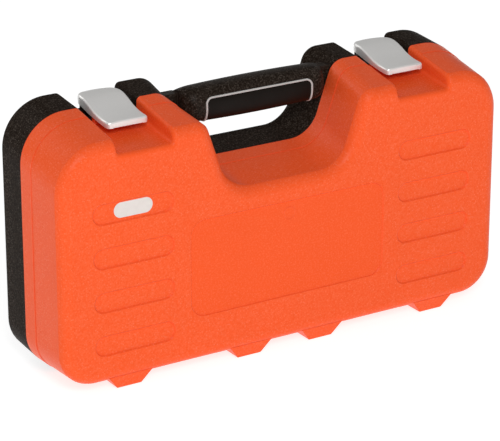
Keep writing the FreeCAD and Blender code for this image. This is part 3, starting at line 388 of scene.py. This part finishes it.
def grained_plastic(name, shade, fleck, roughness, shine, grain_size, grain_depth, plain=None):
    """Moulded plastic with a fine grain and pale tips, smoother where plain is white, rubbed and given a
    painted highlight at its edges, with painted shade in corners and along edges that face up or down.
    """
    material, tree, shader, coords = start_material(name)
    distance, chance = cells(tree, coords, grain_size)
    fine = noise(tree, coords, grain_size, detail=1.5, roughness=0.6)
    cloud = noise(tree, coords, CLOUD_SIZE, detail=3.0, roughness=0.55)
    dots = product(tree, spread(tree, distance, 1.0, 0.0, 0.15, 0.55),
                   spread(tree, chance, 0.0, 1.0, 0.4, 1.0))
    tips = combine(tree, "ADD", dots, spread(tree, fine, 0.0, 0.35, 0.4, 0.7))
    gloss = spread(tree, fine, 0.06, 0.18, *NOISE_RANGE)
    height = combine(tree, "ADD", product(tree, dots, 0.8), fine)
    if plain:
        grained = spread(tree, plain(tree, coords), 1.0, SMOOTH_GRAIN)
        tips, gloss, height = [product(tree, part, grained) for part in (tips, gloss, height)]
    # Deeper, darker colour of the painted shade
    painted_shade_colour = [part * left for part, left in zip(shade, PAINTED_SHADE_SHARES)]
    upper, under = painted_edge_shades(tree)
    layers = (
        (tips, fleck),
        (spread(tree, cloud, 0.0, 0.09, *NOISE_RANGE), tint(shade, 0.7)),
        # Painted shade: corners and grooves darkened towards the deeper colour
        (product(tree, painted_crevice_shade(tree, CREVICE_SHADE_REACH), 0.85), painted_shade_colour),
        # Wear and painted highlight: convex edges made paler
        (product(tree, edge_mask(tree, RUB_AND_HIGHLIGHT_RADIUS), spread(tree, cloud, 0.15, 0.5, 0.35, 0.7)), fleck),
        # Painted shade along edges that face up and along edges that face down
        (product(tree, upper, 0.6), painted_shade_colour),
        (product(tree, under, 0.8), tint(painted_shade_colour, 0.85)),
    )
    surface = shade
    for mask, other in layers:
        surface = blend_colour(tree, mask, surface, other)
    shader.inputs["Specular IOR Level"].default_value = shine
    dress(tree, shader, surface, combine(tree, "ADD", gloss, roughness - 0.12), height, grain_depth)
    return material


def satin_silver(name, shade):
    """Silver finish of the latches with a fine metal fleck and a painted highlight along its edges."""
    material, tree, shader, coords = start_material(name)
    fleck = noise(tree, coords, 0.0006, detail=2.0, roughness=0.7)
    cloud = noise(tree, coords, 0.02, detail=2.0, roughness=0.5)
    flecked = blend_colour(tree, spread(tree, fleck, 0.0, 0.35, 0.4, 0.7), shade, tint(shade, 1.25))
    # Painted highlight: edges made paler
    edge_highlighted = blend_colour(tree, product(tree, edge_mask(tree, SILVER_HIGHLIGHT_RADIUS), 0.5), flecked, tint(shade, 1.5))
    shader.inputs["Metallic"].default_value = 0.55
    dress(tree, shader, edge_highlighted, spread(tree, cloud, 0.34, 0.46, *NOISE_RANGE), fleck, 0.00002)
    return material


def clouded(name, shade, other, cloud, blend, gloss, fine=None, depth=0.00002, metallic=0.0, shine=0.5):
    """Finish that goes from a shade towards another in clouds, with fine bumps or bumps of the clouds."""
    material, tree, shader, coords = start_material(name)
    cloud = noise(tree, coords, *cloud)
    height = noise(tree, coords, *fine) if fine else cloud
    surface = blend_colour(tree, spread(tree, cloud, 0.0, *blend), shade, other)
    shader.inputs["Metallic"].default_value = metallic
    shader.inputs["Specular IOR Level"].default_value = shine
    dress(tree, shader, surface, spread(tree, cloud, *gloss), height, depth)
    return material


def smooth_plastic(name, shade, roughness, shine):
    """Plain moulded plastic with a faint cloud and rub marks."""
    return clouded(name, shade, tint(shade, 0.8), cloud=(0.012, 3.0, 0.6), blend=(0.35, *NOISE_RANGE),
                   gloss=(roughness - 0.05, roughness + 0.08, *NOISE_RANGE), fine=(0.0008, 2.0, 0.5),
                   shine=shine)


def soft_rubber(name, shade):
    """Dark rubber with a dusty bloom."""
    return clouded(name, shade, tint(shade, 2.2), cloud=(0.018, 4.0, 0.6), blend=(0.5, 0.45, 0.75),
                   gloss=(0.5, 0.66, *NOISE_RANGE), fine=(0.0005, 2.0, 0.6), depth=0.00004)


def chrome_plate(name, shade, roughness):
    """Bright plate with faint smears and polishing lines."""
    return clouded(name, shade, tint(shade, 0.86), cloud=(0.009, 4.0, 0.6), blend=(0.3, 0.4, 0.8),
                   gloss=(roughness * 0.6, roughness * 1.7, 0.3, 0.75), fine=(0.0004, 1.0, 0.4),
                   depth=0.000006, metallic=1.0)


def turned_steel(name, shade):
    """Plain turned steel with a brushed bloom."""
    return clouded(name, shade, tint(shade, 0.7), cloud=(0.0015, 3.0, 0.6), blend=(0.6, 0.35, 0.75),
                   gloss=(0.24, 0.42, *NOISE_RANGE), metallic=1.0)


def sticker_film(name, shade):
    """Bare pale film with a faint crease shade."""
    return clouded(name, shade, tint(shade, 0.9), cloud=(0.006, 3.0, 0.6), blend=(0.5, 0.4, 0.7),
                   gloss=(0.30, 0.42), depth=0.00005)


def floor_paint(title, shade, glow):
    """Plain pale studio floor, lit from below like a light table."""
    material, tree, shader, coords = start_material(title)
    for name, value in (("Base Color", shade), ("Emission Color", WHITE), ("Emission Strength", glow),
                        ("Roughness", 0.9), ("Specular IOR Level", 0.1)):
        feed(tree, shader.inputs[name], value)
    return material


# Mesh building blocks

def paint(node, material):
    """Give a frame node a finish."""
    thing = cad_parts[node]
    if not thing.material_slots:
        thing.data.materials.append(material)
    for slot in thing.material_slots:
        slot.material = material


def finish_of(node):
    """Finish of a frame node."""
    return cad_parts[node].material_slots[0].material


def new_object(name, data):
    """New object in the scene."""
    thing = bpy.data.objects.new(name, data)
    bpy.context.scene.collection.objects.link(thing)
    return thing


def finish_piece(name, mesh_builder, material, body):
    """Object from a bmesh, smooth where it is round, riding on a body."""
    mesh = bpy.data.meshes.new(name)
    bmesh.ops.recalc_face_normals(mesh_builder, faces=mesh_builder.faces)
    mesh_builder.to_mesh(mesh)
    mesh_builder.free()
    mesh.materials.append(material)
    mesh.set_sharp_from_angle(angle=SHARP_ANGLE)
    piece = new_object(name, mesh)
    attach(piece, body)
    return piece


def ring(builder, centre, across, side, radius, steps):
    """Corners of a circle round a centre, in the plane of two directions."""
    corners = []
    for number in range(steps):
        turn = 2 * math.pi * number / steps
        spoke = across * (radius * math.cos(turn)) + side * (radius * math.sin(turn))
        corners.append(builder.verts.new(centre + spoke))
    return corners


def lathe(builder, profile, origin, along, across, steps):
    """Surface of revolution: profile of distance along the axis and radius."""
    side = along.cross(across)
    rings = []
    for distance, radius in profile:
        on_axis = radius < 1e-7
        rings.append(ring(builder, origin + along * distance, across, side, radius, 1 if on_axis else steps))
    for first, second in zip(rings, rings[1:]):
        for number in range(steps):
            following = (number + 1) % steps
            corners = dict.fromkeys((first[number % len(first)], first[following % len(first)],
                                     second[following % len(second)], second[number % len(second)]))
            if len(corners) > 2:
                builder.faces.new(tuple(corners))


def cross_loop(builder, centre, reach, half):
    """Corners of a cross round a centre, facing along Y."""
    arm = [(reach, -half), (reach, half), (half, half)]
    corners = []
    for _ in range(4):
        corners += arm
        arm = [(-z, x) for x, z in arm]
    return [builder.verts.new(centre + Vector((x, 0, z))) for x, z in corners]


def bridge(builder, first, second):
    """Faces between two loops of as many corners."""
    for number in range(len(first)):
        builder.faces.new((first[number - 1], first[number], second[number], second[number - 1]))


def drop(radius, into):
    """How far a rounded edge has fallen away at a distance from its end."""
    if into >= radius:
        return 0.0
    return radius - math.sqrt(max(0.0, radius ** 2 - (radius - into) ** 2))


def skin(builder, loops):
    """Closed skin over a row of loops of as many corners."""
    for first, second in zip(loops, loops[1:]):
        bridge(builder, first, second)
    builder.faces.new(loops[0])
    builder.faces.new(loops[-1])


def fill_flat(builder, *loops):
    """Flat faces inside the first loop, round the others."""
    edges = []
    for loop in loops:
        for number in range(len(loop)):
            pair = (loop[number - 1], loop[number])
            edges.append(builder.edges.get(pair) or builder.edges.new(pair))
    bmesh.ops.triangle_fill(builder, use_beauty=True, edges=edges)


def cross_screw(builder, low, high, head_height, shank, flat):
    """Screw along Y in a box, with a crowned head and a cross recess; flat is the level part of the head."""
    radius = (high.x - low.x) / 2
    whole_length = high.y - low.y
    top = Vector(((low.x + high.x) / 2, low.y, (low.z + high.z) / 2))
    last = ring(builder, top, AXIS_X, AXIS_Z, radius * flat, SCREW_STEPS)
    recess = cross_loop(builder, top, radius * flat * 0.84, radius * 0.15)
    fill_flat(builder, last, recess)
    floor = cross_loop(builder, top + AXIS_Y * head_height * 0.65, radius * flat * 0.60, radius * 0.10)
    bridge(builder, recess, floor)
    fill_flat(builder, floor)
    crown = 1 - flat
    profile = [(head_height * 0.10, radius * (flat + crown * 0.5)),
               (head_height * 0.28, radius * (flat + crown * 0.85)), (head_height * 0.5, radius),
               (head_height, radius), (head_height, shank), (whole_length - shank, shank),
               (whole_length, shank * 0.4)]
    for distance, size in profile:
        following = ring(builder, top + AXIS_Y * distance, AXIS_X, AXIS_Z, size, SCREW_STEPS)
        bridge(builder, last, following)
        last = following
    builder.faces.new(last)


def knurled_band(builder, start, end, axis, radius, tooth, count):
    """Ring along X with straight teeth, bevelled at both ends; axis holds its place in Y and Z."""
    inner = radius - 3 * tooth
    profile = ((start, inner, 0.0), (start, radius - tooth, 0.0), (start + tooth, radius, tooth),
               (end - tooth, radius, tooth), (end, radius - tooth, 0.0), (end, inner, 0.0))
    loops = []
    for x, size, depth in profile:
        loop = []
        for number in range(2 * count):
            turn = math.pi * number / count
            reach = size - depth * (number % 2)
            y, z = axis.x + reach * math.cos(turn), axis.y + reach * math.sin(turn)
            loop.append(builder.verts.new((x, y, z)))
        loops.append(loop)
    for number in range(len(loops)):
        bridge(builder, loops[number - 1], loops[number])


def solid_boxes(node):
    """Lowest and highest corners of each separate solid in a node."""
    builder = bmesh.new()
    builder.from_mesh(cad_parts[node].data)
    bmesh.ops.remove_doubles(builder, verts=builder.verts, dist=1e-6)
    seen = set()
    found = []
    for start in builder.verts:
        if start in seen:
            continue
        group, queue = [], [start]
        seen.add(start)
        while queue:
            vertex = queue.pop()
            group.append(vertex.co)
            near = [edge.other_vert(vertex) for edge in vertex.link_edges]
            queue += [other for other in near if other not in seen]
            seen.update(near)
        found.append([Vector([pick(point[axis] for point in group) for axis in range(3)])
                      for pick in (min, max)])
    builder.free()
    return found


# Operators, one for each piece or group

class SHELL_OT_finish(bpy.types.Operator):
    """Give both shells and the handle their grained plastic"""
    bl_idname = "socket_case.shells"
    bl_label = "Shells and handle"

    def execute(self, context):
        look = context.scene.case_finish
        orange = (look.lid_colour, look.lid_fleck)
        black = (look.base_colour, look.base_fleck)
        for node, name, shades, rougher, shine, deeper, plain in (
                ("lid_shell", "Orange grained plastic", orange, 0.0, look.lid_shine, 1.0, smooth_places),
                ("base_shell", "Black grained plastic", black, 0.08, look.base_shine, 1.7, smooth_places),
                ("handle_bar", "Black handle plastic", black, 0.04, look.handle_shine, 1.3, None)):
            paint(node, grained_plastic(name, *shades, look.shell_roughness + rougher, shine,
                                        look.grain_size, look.grain_depth * deeper, plain))
        inlay = smooth_plastic("Handle inlay", look.inlay_colour, roughness=0.42, shine=0.10)
        piping = smooth_plastic("Handle piping", look.piping_colour, roughness=0.45, shine=0.30)
        paint("handle_inlay", inlay)
        paint("handle_piping", piping)
        return {"FINISHED"}


class HANDLE_OT_make(bpy.types.Operator):
    """Make the barrel-shaped handle with its inlay and the bead round it"""
    bl_idname = "socket_case.handle"
    bl_label = "Handle"

    def execute(self, context):
        self.sizes = context.scene.detail_sizes
        self.outline = self.rounded_outline()
        self.front = self.front_line()
        self.make_piece("round_handle", self.make_bar, "handle_bar", "handle_plastic")
        self.make_piece("inlay_panel", self.make_inlay, "handle_inlay", "grip_rubber")
        self.make_piece("piping_bead", self.make_bead, "handle_piping", "piping")
        return {"FINISHED"}

    def make_piece(self, name, make, node, slot):
        """One piece of the handle in place of a frame node, with that node's finish."""
        builder = bmesh.new()
        make(builder)
        piece = finish_piece(name, builder, finish_of(node), "case_base")
        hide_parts(node)

    def rounded_outline(self):
        """Section of the handle in Y and Z, its corners cut again and again."""
        points = [Vector(point) for point in HANDLE_OUTLINE]
        for _ in range(HANDLE_CUTS):
            cut = []
            for number, point in enumerate(points):
                following = points[(number + 1) % len(points)]
                cut += [point.lerp(following, 0.25), point.lerp(following, 0.75)]
            points = cut
        return points

    def tenon_point(self, point):
        """Point on the tenon's outline in the direction of a point of the handle's section."""
        middle = (TENON_LOW + TENON_HIGH) / 2
        half = (TENON_HIGH - TENON_LOW) / 2
        away = point - middle
        return middle + away / max(abs(away.x) / half.x, abs(away.y) / half.y)

    def section_point(self, x, point):
        """Point of the handle's section at a place along it: slimmer away from the middle."""
        scale = 1 - self.sizes.handle_barrel * (x / HANDLE_END) ** 2
        return HANDLE_MIDDLE + (point - HANDLE_MIDDLE) * scale

    def stations(self):
        """Places along the handle, with how far the section has gone over to the tenon's there."""
        rounding = self.sizes.handle_end_round
        flat = HANDLE_END - rounding
        inner = [(flat * number / HANDLE_STATIONS, 0.0) for number in range(HANDLE_STATIONS)]
        ends = [(flat + rounding * math.sin(turn), HANDLE_END_SHARE * (1 - math.cos(turn)))
                for turn in HANDLE_END_TURNS]
        half = inner + ends + [(HANDLE_END, 1.0), (TENON_END, 1.0)]
        return [(-x, share) for x, share in reversed(half[1:])] + half

    def make_bar(self, builder):
        """Handle from tenon to tenon in one skin."""
        loops = []
        for x, share in self.stations():
            loop = []
            for point in self.outline:
                place = self.section_point(x, point).lerp(self.tenon_point(point), share)
                loop.append(builder.verts.new((x, place.x, place.y)))
            loops.append(loop)
        skin(builder, loops)

    def front_line(self):
        """Section from the underside to the inlay's upper edge, as points and distances along it."""
        start = next(number for number, point in enumerate(self.outline) if point.x < HANDLE_MIDDLE.x)
        points = []
        for point in self.outline[start:]:
            if point.y > self.sizes.inlay_top:
                break
            points.append(point)
        last = self.outline[start + len(points)]
        share = (self.sizes.inlay_top - points[-1].y) / (last.y - points[-1].y)
        points.append(points[-1].lerp(last, share))
        distances = [0.0]
        for first, second in zip(points, points[1:]):
            distances.append(distances[-1] + (second - first).length)
        return points, distances

    def skin_point(self, x, along, lift):
        """Point on the handle's front at a distance along its section, lifted off the skin."""
        points, distances = self.front
        number = 0
        while number < len(points) - 2 and distances[number + 1] < along:
            number += 1
        share = (along - distances[number]) / (distances[number + 1] - distances[number])
        place = self.section_point(x, points[number].lerp(points[number + 1], share))
        run = (points[number + 1] - points[number]).normalized()
        return Vector((x, place.x - run.y * lift, place.y + run.x * lift))

    def half_at(self, along):
        """Half the inlay's length at a distance along the section, less in its rounded upper corners."""
        return self.sizes.inlay_half - drop(self.sizes.inlay_corner, self.front[1][-1] - along)

    def rows(self):
        """Distances along the section for the inlay's rows, close together in the rounded corners."""
        corner = self.sizes.inlay_corner
        flat = self.front[1][-1] - corner
        straight = [flat * number / INLAY_ROWS for number in range(INLAY_ROWS)]
        return straight + [flat + corner * math.sin(turn) for turn in INLAY_CORNER_TURNS]

    def make_inlay(self, builder):
        """Thin curved panel on the handle's front and underside."""
        rows = self.rows()
        sheets = []
        for lift in INLAY_LIFTS:
            sheet = []
            for along in rows:
                half = self.half_at(along)
                xs = [half * (2 * number / INLAY_COLUMNS - 1) for number in range(INLAY_COLUMNS + 1)]
                sheet.append([builder.verts.new(self.skin_point(x, along, lift)) for x in xs])
            for low, high in zip(sheet, sheet[1:]):
                for number in range(INLAY_COLUMNS):
                    builder.faces.new((low[number], low[number + 1], high[number + 1], high[number]))
            sheets.append(self.rim(sheet))
        bridge(builder, sheets[0], sheets[1])

    def rim(self, sheet):
        """Corners round the edge of a sheet of rows."""
        left = [row[0] for row in sheet[1:-1]]
        right = [row[-1] for row in sheet[1:-1]]
        return sheet[0] + right + sheet[-1][::-1] + left[::-1]

    def make_bead(self, builder):
        """Round bead up one side of the inlay, along its top and down the other side."""
        rows = self.rows()
        right = [(self.half_at(along), along) for along in rows]
        left = [(-half, along) for half, along in right]
        half = right[-1][0]
        top = [(half * (2 * number / INLAY_COLUMNS - 1), rows[-1]) for number in range(1, INLAY_COLUMNS)]
        path = [self.skin_point(x, along, BEAD_LIFT) for x, along in left + top + right[::-1]]
        loops = []
        for number, place in enumerate(path):
            ahead = (path[min(number + 1, len(path) - 1)] - path[max(number - 1, 0)]).normalized()
            across = ahead.cross(AXIS_Y if abs(ahead.y) < STEEP else AXIS_X).normalized()
            side = ahead.cross(across)
            loops.append(ring(builder, place, across, side, self.sizes.piping_radius, BEAD_STEPS))
        skin(builder, loops)


class LATCH_OT_make(bpy.types.Operator):
    """Make the two latch levers: a hollow S-curved cap with a knuckle, a web and a hook below it"""
    bl_idname = "socket_case.latches"
    bl_label = "Latches"

    def execute(self, context):
        silver = satin_silver("Latch silver", context.scene.case_finish.latch_colour)
        self.sizes = context.scene.detail_sizes
        for way, side in ((-1, "left"), (1, "right")):
            node = side + "_latch"
            paint(node, silver)
            builder = bmesh.new()
            self.make_cap(builder, way * CHANNEL_X)
            self.make_works(builder, way * CHANNEL_X)
            piece = finish_piece(side + "_lever", builder, silver, node)
            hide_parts(node)
        return {"FINISHED"}

    def height_at(self, points, y):
        """Height of a smooth line through points at a place along it."""
        number = 0
        while number < len(points) - 2 and points[number + 1][0] > y:
            number += 1
        slopes = []
        for place in (number, number + 1):
            before, after = points[max(place - 1, 0)], points[min(place + 1, len(points) - 1)]
            slopes.append((after[1] - before[1]) / (after[0] - before[0]))
        (y0, z0), (y1, z1) = points[number], points[number + 1]
        run = y1 - y0
        share = (y - y0) / run
        rest = 1 - share
        ends = z0 * (1 + 2 * share) * rest ** 2 + z1 * (1 + 2 * rest) * share ** 2
        return ends + run * share * rest * (slopes[0] * rest - slopes[1] * share)

    def stations(self):
        """Places along the cap, close together at its rounded ends, and whether it is hollow there."""
        steps = [1 - math.cos(turn) for turn in LEVER_TURNS]
        back = [LEVER_BACK - self.sizes.lever_tail_round * step for step in steps]
        front = [LEVER_FRONT + self.sizes.lever_nose_round * step for step in reversed(steps)]
        start, end = back[-1], front[0]
        middle = [start + (end - start) * number / LEVER_STATIONS for number in range(1, LEVER_STATIONS)]
        return [(y, False) for y in back] + [(y, True) for y in middle] + [(y, False) for y in front]

    def section(self, y, hollow):
        """Outline of the cap in X and Z at a place along it, over the top and back inside."""
        sizes = self.sizes
        from_tail, from_nose = LEVER_BACK - y, y - LEVER_FRONT
        half = LEVER_HALF - drop(LEVER_TAIL, from_tail) - drop(LEVER_NOSE, from_nose)
        low = self.height_at(LEVER_SKIRT, y)
        top = self.height_at(LEVER_TOP, y) - drop(sizes.lever_tail_round, from_tail)
        top -= drop(sizes.lever_nose_round, from_nose)
        rim = min(sizes.lever_rim, RIM_OF_HALF * half, RIM_OF_HEIGHT * (top - low))
        line = [(-half, low)]
        line += [(rim * (1 - math.cos(turn)) - half, top - rim * (1 - math.sin(turn)))
                 for turn in LEVER_TURNS]
        line += [((half - rim) * number / 4, top) for number in range(-3, 1)]
        line += [(-x, z) for x, z in reversed(line[:-1])]
        crowned = [(x, z - sizes.lever_crown * (x / half) ** 2) if z > low else (x, z) for x, z in line]
        wall = min(sizes.lever_wall, WALL_OF_HALF * half)
        inner = half - wall
        roof = top - wall - sizes.lever_crown if hollow else low + LEVER_FLOOR
        right = [(inner, low), (inner, roof - LEVER_CORNER), (inner - LEVER_CORNER, roof)]
        return crowned + right + [(-x, z) for x, z in reversed(right)]

    def make_cap(self, builder, centre):
        """Skin of the cap, outside and inside, from its tail to its nose."""
        skin(builder, [[builder.verts.new((centre + x, y, z)) for x, z in self.section(y, hollow)]
                       for y, hollow in self.stations()])

    def make_works(self, builder, centre):
        """Knuckle round the pin, the web above it and the hook."""
        reach = LEVER_KNUCKLE
        tube = ((-reach, LEVER_BORE), (-reach, LEVER_BARREL), (reach, LEVER_BARREL), (reach, LEVER_BORE))
        lathe(builder, (*tube, tube[0]), Vector((centre, *LEVER_PIVOT)), AXIS_X, AXIS_Z, KNUCKLE_STEPS)
        bmesh.ops.remove_doubles(builder, verts=builder.verts, dist=1e-6)
        for half, outline in ((reach, LEVER_WEB), (LEVER_HOOK_HALF, LEVER_HOOK)):
            ends = [[builder.verts.new((centre + x, *point)) for point in outline] for x in (-half, half)]
            skin(builder, ends)


class PIN_OT_finish(bpy.types.Operator):
    """Give pins, screws and small inner parts their steel, the pins dark as painted shade"""
    bl_idname = "socket_case.pins"
    bl_label = "Pins and screws"

    def execute(self, context):
        look = context.scene.tool_finish
        steel = turned_steel("Turned steel", look.steel_colour)
        # Pins made dark: painted shade for the shadow under the latches
        black = turned_steel("Shade-darkened steel", look.pin_shade_colour)
        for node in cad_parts:
            if node.endswith("_pin"):
                paint(node, black)
            elif node.endswith(("_screws", "_ball", "_balls", "_pawl", "_plunger")):
                paint(node, steel)
        return {"FINISHED"}


class TRAY_OT_finish(bpy.types.Operator):
    """Give the tool tray its formed plastic"""
    bl_idname = "socket_case.tray"
    bl_label = "Tool tray"

    def execute(self, context):
        shade = context.scene.tool_finish.tray_colour
        paint("tool_tray", smooth_plastic("Tray plastic", shade, roughness=0.42, shine=0.35))
        return {"FINISHED"}


class TOOL_OT_finish(bpy.types.Operator):
    """Give sockets, bars and ratchet their plate, and the plug sockets their rubber"""
    bl_idname = "socket_case.tools"
    bl_label = "Tools"

    def execute(self, context):
        look = context.scene.tool_finish
        chrome = chrome_plate("Chrome plate", look.chrome_colour, look.chrome_roughness)
        plated = ["ratchet_body", "ratchet_cover", "ratchet_drive", "ratchet_button", "ratchet_selector",
                  "extension_long", "extension_short"]
        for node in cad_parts:
            if node in plated or node.startswith(("socket_", "plug_socket_")):
                paint(node, chrome)
        rubber = soft_rubber("Soft rubber", look.rubber_colour)
        paint("plug_inserts", rubber)
        paint("ratchet_grip", rubber)
        return {"FINISHED"}


class SCREW_OT_make(bpy.types.Operator):
    """Make the tray's and the ratchet cover's screws with their cross recesses"""
    bl_idname = "socket_case.screws"
    bl_label = "Cross-recess screws"

    def execute(self, context):
        for node, screw in (("tray_screws", TRAY_SCREW), ("ratchet_cover_screws", COVER_SCREW)):
            builder = bmesh.new()
            for low, high in solid_boxes(node):
                cross_screw(builder, low, high, *screw)
            piece = finish_piece(node + "_crossed", builder, finish_of("handle_screws"), "case_base")
            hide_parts(node)
        return {"FINISHED"}


class GRIP_OT_make(bpy.types.Operator):
    """Make the ratchet's rubber grip with its grooves"""
    bl_idname = "socket_case.grip"
    bl_label = "Ratchet grip"

    def execute(self, context):
        sizes = context.scene.detail_sizes
        low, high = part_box("ratchet_grip")
        origin = Vector((low.x, (low.y + high.y) / 2, (low.z + high.z) / 2))
        grooved = [(along, self.radius_at(along) - self.groove_at(along, sizes))
                   for along in self.stations(sizes)]
        bore = [(GRIP_BORE_END, 0.0), (GRIP_BORE_END, GRIP_BORE), (0.0, GRIP_BORE)]
        builder = bmesh.new()
        lathe(builder, bore + grooved + [(grooved[-1][0], 0.0)], origin, AXIS_X, AXIS_Y, GRIP_STEPS)
        piece = finish_piece("ribbed_grip", builder, finish_of("plug_inserts"), "case_base")
        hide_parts("ratchet_grip")
        return {"FINISHED"}

    def stations(self, sizes):
        """Distances along the grip, close together where the grooves are."""
        first, last = GRIP_GROOVES
        count = 8 * sizes.grip_grooves
        fine = [first + (last - first) * number / count for number in range(count + 1)]
        return sorted([along for along, radius in GRIP_PROFILE if not first <= along <= last] + fine)

    def radius_at(self, along):
        """Radius of the plain grip, eased between the points of its profile."""
        for (start, low), (end, high) in zip(GRIP_PROFILE, GRIP_PROFILE[1:]):
            if start <= along <= end:
                share = (along - start) / (end - start)
                return low + (high - low) * share * share * (3 - 2 * share)
        return GRIP_PROFILE[-1][1]

    def groove_at(self, along, sizes):
        """Depth of the grooves at a distance along the grip."""
        first, last = GRIP_GROOVES
        if not first < along < last:
            return 0.0
        wave = math.sin(math.pi * sizes.grip_grooves * (along - first) / (last - first))
        return sizes.groove_depth * wave ** 4


class BAND_OT_make(bpy.types.Operator):
    """Put the knurled bands on the extension bars"""
    bl_idname = "socket_case.bands"
    bl_label = "Knurled bands"

    def execute(self, context):
        sizes = context.scene.detail_sizes
        tooth = sizes.knurl_depth
        for node in ("extension_long", "extension_short"):
            low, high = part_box(node)
            axis = Vector(((low.y + high.y) / 2, (low.z + high.z) / 2))
            builder = bmesh.new()
            for bar_end, way, (start, end, radius) in ((low.x, 1, COLLAR_BAND), (high.x, -1, CUP_BAND)):
                knurled_band(builder, bar_end + way * start, bar_end + way * end, axis, radius + tooth / 2,
                             tooth, sizes.knurl_teeth)
            finish_piece(node + "_knurl", builder, finish_of("extension_long"), "case_base")
        return {"FINISHED"}


class STICKER_OT_make(bpy.types.Operator):
    """Lay the bare pale sticker in its recess on the lid"""
    bl_idname = "socket_case.sticker"
    bl_label = "Sticker"

    def execute(self, context):
        sizes = context.scene.detail_sizes
        seat = LID_LOW.y + PILL_DEPTH
        radius = sizes.sticker_width / 2
        reach = sizes.sticker_length / 2 - radius
        rim = []
        for number in range(STICKER_STEPS):
            turn = 2 * math.pi * (number + 0.5) / STICKER_STEPS
            across = math.copysign(reach, math.cos(turn)) + radius * math.cos(turn)
            rim.append((sizes.sticker_x + across, sizes.sticker_z + radius * math.sin(turn)))
        builder = bmesh.new()
        skin(builder, [[builder.verts.new((x, y, z)) for x, z in rim]
                       for y in (seat, seat - sizes.sticker_thickness)])
        film = sticker_film("Sticker film", context.scene.case_finish.sticker_colour)
        finish_piece("sticker", builder, film, "lid")
        return {"FINISHED"}


class GATE_OT_make(bpy.types.Operator):
    """Put the faint round moulding mark on the lid"""
    bl_idname = "socket_case.gate"
    bl_label = "Moulding mark"

    def execute(self, context):
        sizes = context.scene.detail_sizes
        radius = sizes.gate_radius
        origin = Vector((sizes.gate_x, LID_LOW.y + PANEL_DEPTH, sizes.gate_z))
        rim = [(distance, radius - inset) for distance, inset in GATE_RIM]
        profile = [(GATE_SINK, 0.0), (GATE_SINK, radius)] + rim + [(rim[-1][0], 0.0)]
        builder = bmesh.new()
        lathe(builder, profile, origin, AXIS_Y, AXIS_X, GATE_STEPS)
        finish_piece("moulding_mark", builder, finish_of("lid_shell"), "lid")
        return {"FINISHED"}


class STAGE_OT_make(bpy.types.Operator):
    """Set up the floor, the studio light and the camera"""
    bl_idname = "socket_case.stage"
    bl_label = "Stage"

    def execute(self, context):
        scene = context.scene
        setup = scene.stage_setup
        self.make_floor(setup)
        scene.world = self.make_sky(setup)
        self.make_light("Key light", setup.key_power, setup.key_place, setup.key_size)
        self.make_light("Fill light", setup.fill_power, setup.fill_place, setup.fill_size)
        scene.camera = self.make_camera(setup)
        scene.view_settings.view_transform = "Standard"
        return {"FINISHED"}

    def make_floor(self, setup):
        """Flat floor under the feet."""
        half = setup.floor_size / 2
        mesh = bpy.data.meshes.new("studio_floor")
        corners = [(-half, -half, 0), (half, -half, 0), (half, half, 0), (-half, half, 0)]
        mesh.from_pydata(corners, [], [(0, 1, 2, 3)])
        mesh.materials.append(floor_paint("Studio floor", setup.floor_colour, setup.floor_glow))
        floor = new_object("studio_floor", mesh)

    def make_sky(self, setup):
        """Pale light from all round, stronger from the sides than from above."""
        world = bpy.data.worlds.new("Studio sky")
        world.use_nodes = True
        tree = world.node_tree
        background = tree.nodes["Background"]
        direction = add_node(tree, "TexCoord", {})["Generated"]
        rise = add_node(tree, "SeparateXYZ", {"Vector": direction})["Z"]
        feed(tree, background.inputs["Strength"], spread(tree, rise, setup.sky_low, setup.sky_high))
        feed(tree, background.inputs["Color"], WHITE)
        return world

    def make_light(self, name, energy, location, size):
        """Soft light aimed at the middle of the case."""
        data = bpy.data.lights.new(name, "AREA")
        data.energy = energy
        data.size = size
        light = new_object(name, data)
        light.location = location
        light.rotation_euler = (LIGHT_AIM - light.location).to_track_quat("-Z", "Y").to_euler()

    def make_camera(self, setup):
        """Camera at the viewing angle, looking at the middle of the view."""
        data = bpy.data.cameras.new("Camera")
        data.sensor_width = SENSOR_WIDTH
        data.lens = setup.focal_pixels * SENSOR_WIDTH / PHOTO_WIDTH
        data.clip_start, data.clip_end = CLIP_NEAR, CLIP_FAR
        level = math.cos(setup.elevation)
        back = Vector((-math.sin(setup.azimuth) * level, -math.cos(setup.azimuth) * level,
                       math.sin(setup.elevation)))
        camera = new_object("Camera", data)
        camera.location = Vector(setup.look_at) + back * setup.distance
        camera.rotation_euler = (-back).to_track_quat("-Z", "Y").to_euler()
        return camera


class SOCKETCASE_PT_panel(bpy.types.Panel):
    """Lists the steps in the sidebar"""
    bl_idname = "SOCKETCASE_PT_panel"
    bl_label = "Socket Case"
    bl_space_type = "VIEW_3D"
    bl_region_type = "UI"
    bl_category = "Socket Case"

    def draw(self, context):
        for step in STEPS:
            self.layout.operator(step.bl_idname)


SETTINGS = {"case_finish": CaseFinish, "tool_finish": ToolFinish, "detail_sizes": DetailSizes,
            "stage_setup": StageSetup}
STEPS = (SHELL_OT_finish, HANDLE_OT_make, LATCH_OT_make, PIN_OT_finish, TRAY_OT_finish, TOOL_OT_finish,
         SCREW_OT_make, GRIP_OT_make, BAND_OT_make, STICKER_OT_make, GATE_OT_make, STAGE_OT_make)


def register():
    """Register the settings, the steps and the panel."""
    for name, group in SETTINGS.items():
        bpy.utils.register_class(group)
        setattr(bpy.types.Scene, name, PointerProperty(type=group))
    for step in STEPS:
        bpy.utils.register_class(step)
    bpy.utils.register_class(SOCKETCASE_PT_panel)


def unregister():
    """Take the settings, the steps and the panel away again."""
    bpy.utils.unregister_class(SOCKETCASE_PT_panel)
    for step in reversed(STEPS):
        bpy.utils.unregister_class(step)
    for name, group in SETTINGS.items():
        delattr(bpy.types.Scene, name)
        bpy.utils.unregister_class(group)


def main():
    """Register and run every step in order."""
    register()
    for step in STEPS:
        group, name = step.bl_idname.split(".")
        getattr(getattr(bpy.ops, group), name)()


if __name__ == "__main__":
    main()
